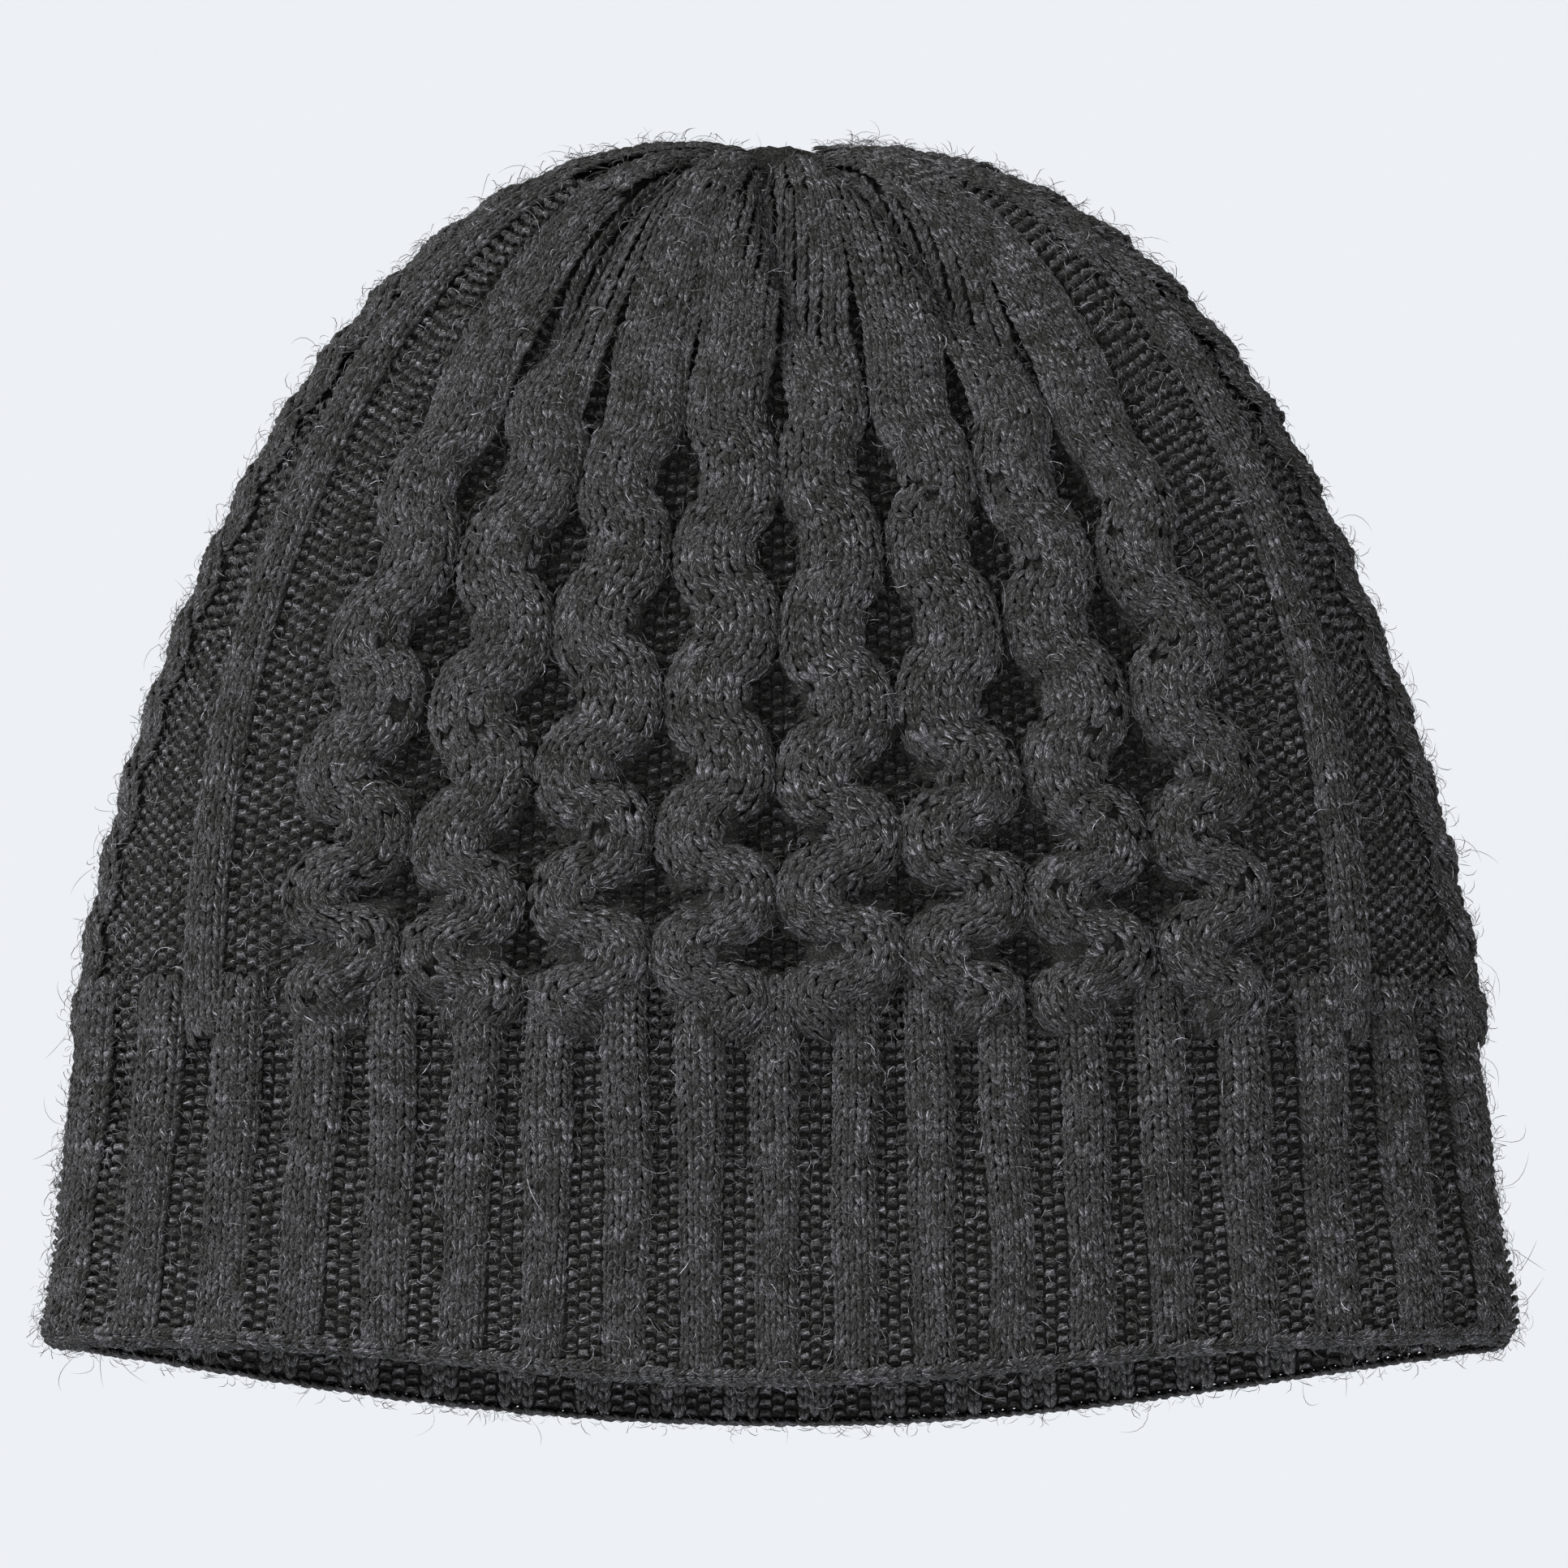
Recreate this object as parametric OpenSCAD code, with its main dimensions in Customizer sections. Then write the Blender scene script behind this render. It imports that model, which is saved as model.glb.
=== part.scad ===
// Cable-knit beanie, standing crown up with its front towards -Y.
// The fabric is laid out in zones round the head: a honeycomb panel, a purl gutter and a knit
// rib on each side of it, and a rope cable over each side fold, the same at front and back.

/* [Brim] */
// Half of the flat width at the brim edge
brim_half_width = 121.5; // [110:0.5:132]
// Half of the depth, front to back, at the brim edge
brim_half_depth = 36; // [28:1:60]
// Height of the ribbed cuff at the side folds
cuff_height = 48; // [40:1:65]
// How far the front of the brim hangs below the side folds
front_droop = 9; // [0:0.5:14]
// How far the back of the brim hangs below the side folds
back_droop = 11.5; // [0:0.5:16]
// Number of knit ribs across the front of the cuff, and again across the back
ribs_per_side = 19; // [15:1:25]
// Height of a knit rib above the purl valleys
rib_relief = 1.5; // [0.5:0.1:2.5]
// Height of the cast-on edge
edge_height = 2.6; // [2:0.1:4]

/* [Crown] */
// Half of the flat width where the crown leaves the cuff
body_half_width = 115; // [100:0.5:125]
// Half of the depth where the crown leaves the cuff
body_half_depth = 40; // [30:1:66]
// Height of the crown above the cuff
dome_height = 150; // [125:1:160]
// Thickness of the plain knitted fabric
fabric = 4; // [3:0.1:5]

/* [Zones] */
// Edge of the honeycomb panel, as a share of the half width
panel_edge = 0.655; // [0.6:0.005:0.7]
// Middle of the knit rib beside the panel, as a share of the half width
rib_middle = 0.80; // [0.77:0.005:0.82]
// Half of the knit rib's width, as a share of the half width
rib_half = 0.038; // [0.03:0.001:0.045]
// Where the honeycomb ends and the crown decreases begin, as a share of the dome's height
decrease_start = 0.74; // [0.66:0.01:0.8]
// Where the fabric ends at the gathered centre, as a share of the dome's height
gather_start = 0.98; // [0.96:0.005:0.985]

/* [Trimmings] */
// Diameter of the wool yarn
yarn = 2.4; // [1.8:0.1:3]
// Radius of the ring of gathering yarn under the crown
gather_radius = 5; // [4:0.5:8]
// Width of the back seam's allowance
seam_width = 5; // [3:0.5:8]
// Width of the care label
label_width = 22; // [15:1:30]
// Length of the care label below its stitches
label_length = 35; // [20:1:40]
// Height of the stitches that hold the care label, above the side folds of the brim
label_top = 98; // [95:1:105]

/* [Hidden] */

charcoal = [0.20, 0.20, 0.21];
shade = [0.15, 0.15, 0.16];
highlight = [0.27, 0.27, 0.28];
satin = [0.88, 0.87, 0.84];

// Shape of a level section: y = depth * (1 - share^flatness)^(1 / roundness)
flatness = 2.2;
roundness = 1.6;
// Shape of the dome's side outline and of its front-to-back outline
dome_rise = 1.35;
dome_width_power = 2.7;
dome_depth_power = 2;

joint_gap = 0.4;      // between the cuff and the crown, which move on each other
zone_gap = 0.0008;    // between neighbouring zones, as a share of the half width
panel_relief = 2;     // the honeycomb cords stand this far above the purl ground
band_relief = 1.2;    // the same for the knit ribs beside the panel
cable_relief = 0.8;   // the same for the rope cables over the side folds
edge_relief = 0.5;    // the cast-on edge is this much fuller than the cuff
full_height = cuff_height + dome_height;

label_thickness = 1;
label_y = 30;         // behind the middle of the hat, just in front of the seam
thread = 0.9;         // diameter of the label's stitches
stitch_gap = 1.1;     // from the middle of the stitches down to the label
seam_relief = 1.6;    // the seam's allowance reaches this far in from the outside of the hollow

// A place round the hat: -1 to 1 runs across the front, 1 to 3 back across the rear.
function share_of(w) = w > 3 ? w - 4 : w > 1 ? 2 - w : w;
function side_of(w) = w > 1 && w < 3 ? 1 : -1;
function section_depth(u) = pow(max(0, 1 - pow(min(1, abs(u)), flatness)), 1 / roundness);

// A point on the cuff at a height above the side folds of the brim, moved outwards by out.
function cuff_point(w, h, out) =
    let (u = share_of(w), s = side_of(w), k = h / cuff_height,
         a = brim_half_width + (body_half_width - brim_half_width) * k + out,
         b = brim_half_depth + (body_half_depth - brim_half_depth) * k + out,
         droop = (s < 0 ? front_droop : back_droop) * pow(1 - k, 1.5) * (1 - u * u))
    [a * u, s * b * section_depth(u), h - droop];

// A point on the dome at a share t of its height, moved outwards by out.
function dome_point(w, t, out) =
    let (u = share_of(w), s = side_of(w),
         a = (body_half_width + out) * pow(1 - pow(t, dome_rise), 1 / dome_width_power),
         b = (body_half_depth + out) * pow(1 - pow(t, dome_depth_power), 1 / dome_depth_power))
    [a * u, s * b * section_depth(u), cuff_height + (dome_height + out) * t];

// The borders between the twelve zones round the dome, in order from the front left one.
function middle_of_rib(t) = rib_middle + 0.1 * pow(t, 0.6);
function borders(t) =
    let (e = panel_edge + 0.085 * t, i = middle_of_rib(t) - rib_half, o = middle_of_rib(t) + rib_half)
    [-e, e, i, o, 2 - o, 2 - i, 2 - e, 2 + e, 2 + i, 2 + o, 4 - o, 4 - i, 4 - e];

// A closed skin between an outer and an inner grid of points, rows from the bottom up.
module skin(outer, inner) {
    rows = len(outer);
    cols = len(outer[0]);
    n = rows * cols;
    function id(r, c, k) = k * n + r * cols + c;
    function quad(a, b, c, d) = [[a, b, c], [a, c, d]];
    polyhedron(
        points = [for (grid = [outer, inner]) for (row = grid) each row],
        faces = [
            for (r = [0 : rows - 2], c = [0 : cols - 2]) each concat(
                quad(id(r, c, 0), id(r + 1, c, 0), id(r + 1, c + 1, 0), id(r, c + 1, 0)),
                quad(id(r, c, 1), id(r, c + 1, 1), id(r + 1, c + 1, 1), id(r + 1, c, 1))),
            for (r = [0 : rows - 2]) each concat(
                quad(id(r, 0, 0), id(r, 0, 1), id(r + 1, 0, 1), id(r + 1, 0, 0)),
                quad(id(r, cols - 1, 0), id(r + 1, cols - 1, 0),
                     id(r + 1, cols - 1, 1), id(r, cols - 1, 1))),
            for (c = [0 : cols - 2]) each concat(
                quad(id(0, c, 0), id(0, c + 1, 0), id(0, c + 1, 1), id(0, c, 1)),
                quad(id(rows - 1, c, 0), id(rows - 1, c, 1),
                     id(rows - 1, c + 1, 1), id(rows - 1, c + 1, 0)))],
        convexity = 6);
}

// One zone of the dome between two heights, with cols columns.
module dome_zone(zone, heights, cols, relief) {
    function place(t, c) = let (e = borders(t), from = e[zone] + zone_gap, to = e[zone + 1] - zone_gap)
        from + (to - from) * c / cols;
    skin([for (t = heights) [for (c = [0 : cols]) dome_point(place(t, c), t, relief)]],
         [for (t = heights) [for (c = [0 : cols]) dome_point(place(t, c), t, -fabric)]]);
}

lower_heights = [0, 0.1, 0.2, 0.3, 0.4, 0.5, 0.6, 0.67, decrease_start - 0.002];
crown_heights = [decrease_start, 0.8, 0.86, 0.91, 0.95, gather_start];
whole_heights = [0, 0.12, 0.24, 0.36, 0.48, 0.6, 0.7, 0.8, 0.88, 0.94, gather_start];

// Half of the cuff: ribs from the cast-on edge up to the crown. start is -1 at the front, 1 behind.
module cuff_half(start) {
    step = 2 / ribs_per_side;
    places = [for (i = [0 : ribs_per_side - 1], k = [0.12, 0.28, 0.72, 0.88])
        [start + (i + k) * step, k > 0.2 && k < 0.8 ? rib_relief : 0]];
    ends = concat([[start + zone_gap, 0]], places, [[start + 2 - zone_gap, 0]]);
    levels = [edge_height, cuff_height / 3, cuff_height * 2 / 3, cuff_height - joint_gap];
    skin([for (h = levels) [for (p = ends) cuff_point(p[0], h, p[1])]],
         [for (h = levels) [for (p = ends) cuff_point(p[0], h, -fabric)]]);
}

// Half of the cast-on edge, a fuller rim below the ribs.
module edge_half(start) {
    places = [for (i = [0 : 2 * ribs_per_side]) start + zone_gap + (2 - 2 * zone_gap) * i / (2 * ribs_per_side)];
    levels = [0, edge_height - 0.1];
    skin([for (h = levels) [for (w = places) cuff_point(w, h, edge_relief)]],
         [for (h = levels) [for (w = places) cuff_point(w, h, -fabric - edge_relief)]]);
}

module cuff_front() color(charcoal) cuff_half(-1);
module cuff_back() color(charcoal) cuff_half(1);
module cast_on_edge_front() color(highlight) edge_half(-1);
module cast_on_edge_back() color(highlight) edge_half(1);

module honeycomb_panel_front() color(charcoal) dome_zone(0, lower_heights, 12, panel_relief);
module honeycomb_panel_back() color(charcoal) dome_zone(6, lower_heights, 12, panel_relief);
module crown_decreases_front() color(charcoal) dome_zone(0, crown_heights, 10, panel_relief);
module crown_decreases_back() color(charcoal) dome_zone(6, crown_heights, 10, panel_relief);

module purl_gutter_front_right() color(shade) dome_zone(1, whole_heights, 2, 0);
module purl_gutter_back_right() color(shade) dome_zone(5, whole_heights, 2, 0);
module purl_gutter_back_left() color(shade) dome_zone(7, whole_heights, 2, 0);
module purl_gutter_front_left() color(shade) dome_zone(11, whole_heights, 2, 0);

module knit_rib_front_right() color(highlight) dome_zone(2, whole_heights, 2, band_relief);
module knit_rib_back_right() color(highlight) dome_zone(4, whole_heights, 2, band_relief);
module knit_rib_back_left() color(highlight) dome_zone(8, whole_heights, 2, band_relief);
module knit_rib_front_left() color(highlight) dome_zone(10, whole_heights, 2, band_relief);

// A rope cable and the purl strips beside it, over a side fold. The fold itself is drawn finer.
module side_cable(zone) {
    function across(from, to) = let (fold = (from + to) / 2, half = (to - from) / 2)
        [for (k = [-1, -0.6, -0.3, -0.12, 0, 0.12, 0.3, 0.6, 1]) fold + k * half];
    function row(t, out) = let (e = borders(t))
        [for (w = across(e[zone] + zone_gap, e[zone + 1] - zone_gap)) dome_point(w, t, out)];
    skin([for (t = whole_heights) row(t, cable_relief)], [for (t = whole_heights) row(t, -fabric)]);
}
module side_cable_right() color(charcoal) side_cable(3);
module side_cable_left() color(charcoal) side_cable(9);

// The last round of stitches, drawn together over the top.
module crown_centre() color(shade) {
    start = gather_start + 0.002;
    places = [for (s = [-1, 1], u = [-1, -0.97, -0.9, -0.75, -0.5, -0.25, 0, 0.25, 0.5, 0.75, 0.9, 0.97])
        s < 0 ? u : 2 + u];
    n = len(places);
    outer = [for (w = places) dome_point(w, start, 0)];
    inner = [for (w = places) dome_point(w, start, -fabric)];
    polyhedron(
        points = concat(outer, inner, [[0, 0, full_height]], [[0, 0, full_height - fabric]]),
        faces = [for (i = [0 : n - 1]) let (j = (i + 1) % n) each [
            [i, 2 * n, j], [n + i, n + j, 2 * n + 1], [i, j, n + j], [i, n + j, n + i]]]);
}

// A ring of yarn through the last stitches, pulled tight under the crown and knotted.
module crown_gathering_yarn() color(shade)
    translate([0, 0, full_height - fabric - yarn - 1.5]) {
        rotate_extrude($fn = 32) translate([gather_radius, 0]) circle(d = yarn, $fn = 16);
        translate([0, 0, -yarn * 0.2]) sphere(d = yarn * 1.6, $fn = 24);
        rotate([0, 90, 0]) cylinder(h = gather_radius, d = yarn * 0.8, $fn = 16);
    }

// The seam that closes the fabric behind, a flat ridge on the inside.
module back_seam_cuff() color(shade) {
    half = seam_width / 2 / body_half_width;
    levels = [edge_height + 0.6, cuff_height / 3, cuff_height * 2 / 3, cuff_height - joint_gap];
    skin([for (h = levels) [for (k = [-1, 0, 1]) cuff_point(2 + k * half, h, -fabric - 0.05)]],
         [for (h = levels) [for (k = [-1, 0, 1]) cuff_point(2 + k * half, h, -fabric - seam_relief)]]);
}
// The share that keeps the seam as wide at a height t as it is above the cuff.
function seam_share(t, k) = 2 + k * seam_width / 2 / dome_point(1, t, 0)[0];
module back_seam_crown() color(shade) {
    levels = [0, 0.12, 0.24, 0.36, 0.48, 0.6, 0.7, 0.8, 0.88];
    skin([for (t = levels) [for (k = [-1, 0, 1]) dome_point(seam_share(t, k), t, -fabric - 0.05)]],
         [for (t = levels) [for (k = [-1, 0, 1]) dome_point(seam_share(t, k), t, -fabric - seam_relief)]]);
}

// A blank satin label that hangs from the back seam inside.
module care_label() color(satin)
    translate([-label_width / 2, label_y - label_thickness / 2, label_top - stitch_gap - label_length])
        cube([label_width, label_thickness, label_length]);

// Five short stitches from the top of the label back into the seam.
module care_label_stitches() color(highlight)
    for (i = [-2 : 2])
        translate([i * 1.1, label_y - label_thickness / 2, label_top])
            rotate([-90, 0, 0]) cylinder(h = 2.6, d = thread, $fn = 16);

cuff_front();
cuff_back();
cast_on_edge_front();
cast_on_edge_back();
honeycomb_panel_front();
honeycomb_panel_back();
purl_gutter_front_right();
knit_rib_front_right();
side_cable_right();
knit_rib_back_right();
purl_gutter_back_right();
purl_gutter_back_left();
knit_rib_back_left();
side_cable_left();
knit_rib_front_left();
purl_gutter_front_left();
crown_decreases_front();
crown_decreases_back();
crown_centre();
crown_gathering_yarn();
back_seam_cuff();
back_seam_crown();
care_label();
care_label_stitches();
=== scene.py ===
import math

import bpy
import numpy as np
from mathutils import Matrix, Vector


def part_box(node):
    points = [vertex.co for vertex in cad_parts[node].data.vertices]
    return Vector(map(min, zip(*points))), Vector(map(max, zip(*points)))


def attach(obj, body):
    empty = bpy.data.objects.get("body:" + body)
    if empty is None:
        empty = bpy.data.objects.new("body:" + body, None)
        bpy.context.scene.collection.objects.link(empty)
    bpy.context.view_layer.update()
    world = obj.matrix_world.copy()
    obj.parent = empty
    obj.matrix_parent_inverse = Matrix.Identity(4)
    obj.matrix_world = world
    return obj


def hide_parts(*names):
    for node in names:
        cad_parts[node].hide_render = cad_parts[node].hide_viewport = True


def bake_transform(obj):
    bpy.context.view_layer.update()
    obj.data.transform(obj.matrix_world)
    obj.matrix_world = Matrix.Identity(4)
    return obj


# Cable-knit wool beanie. Every stitch is a piece of yarn: paths on the hat's surface say where the
# wales run, points are set along them a row apart, and Geometry Nodes put a stitch on each point.
# Round the hat a place is w: -1 to 1 across the front, 1 to 3 across the back, folds at -1 and 1.
# Upwards it is v: 0 to 1 up the cuff, 1 to 2 up the dome to the crown.

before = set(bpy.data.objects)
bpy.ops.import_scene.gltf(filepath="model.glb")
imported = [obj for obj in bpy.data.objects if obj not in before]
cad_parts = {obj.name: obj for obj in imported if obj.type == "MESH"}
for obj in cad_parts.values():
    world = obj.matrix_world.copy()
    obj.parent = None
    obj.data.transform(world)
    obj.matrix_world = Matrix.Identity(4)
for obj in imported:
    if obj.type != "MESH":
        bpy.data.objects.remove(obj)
for startup in ("Cube", "Light", "Camera"):
    if startup in bpy.data.objects:
        bpy.data.objects.remove(bpy.data.objects[startup])
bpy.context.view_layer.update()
mm = 0.001
scene = bpy.context.scene

hat = {
    "brimHalfWidth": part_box("cast_on_edge_front")[1].x - 0.5 * mm,
    "brimHalfDepth": 36 * mm,
    "bodyHalfWidth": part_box("side_cable_right")[1].x - 0.8 * mm,
    "bodyHalfDepth": -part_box("honeycomb_panel_front")[0].y - 2 * mm,
    "cuffHeight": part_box("cuff_front")[1].z + 0.4 * mm,
    "crownTop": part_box("crown_centre")[1].z,
    "frontDroop": -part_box("cast_on_edge_front")[0].z,
    "backDroop": -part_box("cast_on_edge_back")[0].z,
    "flatness": 2.2,       # the level section's powers, as in the frame
    "roundness": 1.6,
    "widthRise": 1.35,     # the dome's outline from the front
    "widthPower": 2.7,
    "depthPower": 2.0,     # and from the side
    "rowEase": 2.4,        # spreads the rows evenly over the top of the dome
    "frontDroopPower": 4.0,  # how sharply the brim's droop gathers in the middle
    "backDroopPower": 1.6,
    "dip": 3.5 * mm,       # the line between cuff and crown hangs this much in the middle
}
hat["domeHeight"] = hat["crownTop"] - hat["cuffHeight"]

gauge = {
    "wale": 2.1 * mm,      # width of one column of stitches
    "row": 2.25 * mm,      # height of one row in the crown, where the cloth is stretched
    "cuffRow": 1.92 * mm,  # and in the cuff
    "thinnest": 1.45 * mm, # a wale narrower than this is knitted together with its neighbour
    "lastRow": 1.965,      # where the ribs and the purl wales end
    "seed": 11,
}
middleOf = {"front": 0, "back": 2}    # w of the middle of a side
handSign = {"left": -1, "right": 1}


# the hat's surface

def domeShare(v):
    return 1 - (1 - np.clip(v - 1, 0, 1)) ** hat["rowEase"]


def rowAtHeight(h):
    t = np.clip((np.asarray(h) - hat["cuffHeight"]) / hat["domeHeight"], 0, 1)
    return np.where(h < hat["cuffHeight"], h / hat["cuffHeight"],
                    2 - (1 - t) ** (1 / hat["rowEase"]))


def halfSizes(v):
    k, t = np.clip(v, 0, 1), domeShare(v)
    wide = hat["brimHalfWidth"] + (hat["bodyHalfWidth"] - hat["brimHalfWidth"]) * k
    deep = hat["brimHalfDepth"] + (hat["bodyHalfDepth"] - hat["brimHalfDepth"]) * k
    return (wide * (1 - t ** hat["widthRise"]) ** (1 / hat["widthPower"]),
            deep * (1 - t ** hat["depthPower"]) ** (1 / hat["depthPower"]))


tableRows, tableColumns = 401, 201


def makeQuarterTables():
    # a quarter of each level section, from the middle of the front to a fold, evenly by arc length
    turn = np.linspace(0, math.pi / 2, 1500)
    xs, ys, lengths = [], [], []
    for v in np.linspace(0, 2, tableRows):
        wide, deep = halfSizes(np.array(v))
        x = wide * np.sin(turn) ** (2 / hat["flatness"])
        y = deep * np.cos(turn) ** (2 / hat["roundness"])
        arc = np.concatenate([[0], np.cumsum(np.hypot(np.diff(x), np.diff(y)))])
        even = np.linspace(0, arc[-1], tableColumns)
        xs.append(np.interp(even, arc, x))
        ys.append(np.interp(even, arc, y))
        lengths.append(arc[-1])
    return np.array(xs), np.array(ys), np.array(lengths)


quarterX, quarterY, quarterArc = makeQuarterTables()


def lookUp(table, v, across):
    r = np.clip(v / 2 * (tableRows - 1), 0, tableRows - 1.0001)
    c = np.clip(across * (tableColumns - 1), 0, tableColumns - 1.0001)
    i, j = r.astype(int), c.astype(int)
    fr, fc = r - i, c - j
    return ((1 - fr) * ((1 - fc) * table[i, j] + fc * table[i, j + 1])
            + fr * ((1 - fc) * table[i + 1, j] + fc * table[i + 1, j + 1]))


def quarterLength(v):
    return np.interp(v, np.linspace(0, 2, tableRows), quarterArc)


def arcOfShare(share, v):
    # the place w on the front at a share of the half width
    share, v = np.broadcast_arrays(np.asarray(share, float), np.asarray(v, float))
    even = np.linspace(0, 1, tableColumns)
    rows = np.clip(np.round(v / 2 * (tableRows - 1)).astype(int), 0, tableRows - 2)
    found = [np.interp(abs(s) * quarterX[r, -1], quarterX[r], even) * np.sign(s)
             for s, r in zip(share.ravel(), rows.ravel())]
    return np.array(found).reshape(share.shape)


def onFront(w):
    # the same place as seen on whichever side it is, from -1 at one fold to 1 at the other
    w = (np.asarray(w, float) + 1) % 4 - 1
    return np.where(w > 1, w - 2, w), w > 1


def smoothStep(a, b, x):
    t = np.clip((x - a) / (b - a), 0, 1)
    return t * t * (3 - 2 * t)


def arcLength(path):
    return np.concatenate([[0], np.cumsum(np.linalg.norm(np.diff(path, axis=0), axis=1))])


folds = {
    "creases": ((-0.46, -0.46), (-0.07, 0.10), (0.30, 0.47)),  # share of the half width, top and bottom
    "depth": 5.0 * mm,
    "width": 3.0 * mm,
    "start": 148 * mm,     # height where a crease fades in
    "full": 168 * mm,
    "end": (1.93, 1.99),   # and the rows where it fades out
    "lump": 0.7 * mm,      # slow unevenness of cloth that nobody pressed
}


def foldRelief(w, v):
    side, back = onFront(w)
    h = hat["cuffHeight"] + hat["domeHeight"] * domeShare(v)
    wide = halfSizes(v)[0]
    share = lookUp(quarterX, v, np.abs(side)) * np.sign(side) / np.maximum(wide, 1e-5)
    share = np.where(back, -share, share)
    fade = smoothStep(folds["start"], folds["full"], h) * (1 - smoothStep(*folds["end"], v))
    relief = np.zeros_like(share)
    lift = smoothStep(folds["start"], hat["crownTop"], h)
    for top, bottom in folds["creases"]:
        line = bottom + (top - bottom) * lift
        away = (share - line) * wide
        relief -= folds["depth"] * fade * np.exp(-(away / folds["width"]) ** 2)
    relief += folds["lump"] * np.sin(5.3 * side + 2.1 * v + 1.0 * back) * np.sin(7.7 * v - 3.1 * side)
    return relief


def plainPoint(w, v):
    side, back = onFront(w)
    x = np.sign(side) * lookUp(quarterX, v, np.abs(side))
    y = lookUp(quarterY, v, np.abs(side))
    x, y = np.where(back, -x, x), np.where(back, y, -y)
    wide = np.maximum(halfSizes(v)[0], 1e-5)
    k = np.clip(v, 0, 1)
    middle = np.clip(1 - (x / wide) ** 2, 0, 1)
    droop = np.where(back, (hat["backDroop"] - hat["dip"]) * middle ** hat["backDroopPower"],
                     (hat["frontDroop"] - hat["dip"]) * middle ** hat["frontDroopPower"]) * (1 - k) ** 1.5
    t = domeShare(v)
    droop += hat["dip"] * middle * (1 - t) ** 2
    return np.stack([x, y, hat["cuffHeight"] * k + hat["domeHeight"] * t - droop], -1)


def unit(a):
    return a / np.maximum(np.linalg.norm(a, axis=-1, keepdims=True), 1e-12)


def normalOf(point, w, v):
    # outwards, from the slopes over a small step
    dw, dv = 1.2 * mm / np.maximum(quarterLength(v), 12 * mm), 0.008
    v = np.clip(v, dv, 2 - 2 * dv)
    across = point(w + dw, v) - point(w - dw, v)
    return unit(np.cross(across, point(w, v + dv) - point(w, v - dv)))


def hatPoint(w, v):
    return plainPoint(w, v) + normalOf(plainPoint, w, v) * foldRelief(w, v)[..., None]


def hatNormal(w, v):
    return normalOf(hatPoint, w, v)


# cords: raised bands of knit wales that follow a path

def meander(turnDegrees):
    # one period of a winding line whose direction swings by turnDegrees each way
    s = np.linspace(0, 2 * math.pi, 721)
    heading = -math.radians(turnDegrees) * np.sin(s)
    x = np.concatenate([[0], np.cumsum(np.sin(heading))[:-1]])
    y = np.concatenate([[0], np.cumsum(np.cos(heading))[:-1]])
    x = (x - x.min()) / (x.max() - x.min()) * 2 - 1
    return s / (2 * math.pi), x, y / y[-1]


def wander(rng, x, size):
    # a slow random drift along x
    total = np.zeros_like(x)
    for speed in (0.9, 1.7, 2.9):
        total += np.sin(speed * x + rng.uniform(0, 6.3)) / speed ** 0.5
    return total * size / 1.6


def cordAlong(point, normal, halfWidth, height, wales, **more):
    # a cord whose middle line and outward directions are known
    full = lambda a: np.broadcast_to(np.asarray(a, float), len(point)).copy()
    along = unit(np.gradient(point, axis=0))
    return {"point": point, "normal": normal, "along": along, "across": unit(np.cross(along, normal)),
            "halfWidth": full(halfWidth), "height": full(height), "wales": wales, **more}


def cord(name, w, v, halfWidth, height, out, wales, **more):
    # a cord that follows places on the hat, its middle line lying out from the surface
    normal = hatNormal(w, v)
    point = hatPoint(w, v) + normal * np.broadcast_to(out, w.shape)[:, None]
    return cordAlong(point, normal, halfWidth, height, wales, name=name, w=w, v=v, **more)


honeycomb = {
    "cords": 8,
    "spread": 0.175,           # from cord to cord, as a share of the half width
    "swell": 0.05,             # how much the panel widens in the middle of the dome
    "swellHeight": 120 * mm,
    "halfWidth": 5.9 * mm,     # of a cord that runs upright, at the bottom; it narrows with the dome
    "shear": 0.5,              # rows stay nearly level, so a cord that runs sideways is thinner
    "height": 4.3 * mm,
    "narrowing": 0.7,
    "fuller": 0.22,            # how much fuller the cords are higher up, where the holes are smaller
    "kiss": 12.3 * mm,         # from middle to middle where two cords meet, at the bottom
    "turn": 70,                # how far the cords swing from upright
    "firstHole": 61.8 * mm,    # height of the lowest whole hole between even pairs
    "period": 17.2 * mm,       # from hole to hole, growing upwards
    "growth": 1.3 * mm,
    "wales": 6,
    # counted in holes from the lowest whole one: where the cords begin, stand at their full height,
    # swing fully, grow fuller, stop swinging, and end in flat wales
    "begin": -0.8,
    "risen": -0.45,
    "swinging": -0.3,
    "fullerOver": (0.3, 2.2),
    "calming": (3.7, 4.5),
    "flattening": (3.5, 5.0),
    "flatHeight": 0.4,         # what is left of the height in the flat wales
    "sunk": 0.3 * mm,          # under the hat's surface, and more where a cord begins
    "startSunk": 1.5 * mm,
    "drift": 0.05,             # unevenness of the rhythm, of the swing and of the course
    "unevenSwing": 0.16,
    "unevenCourse": 0.35 * mm,
}


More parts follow.
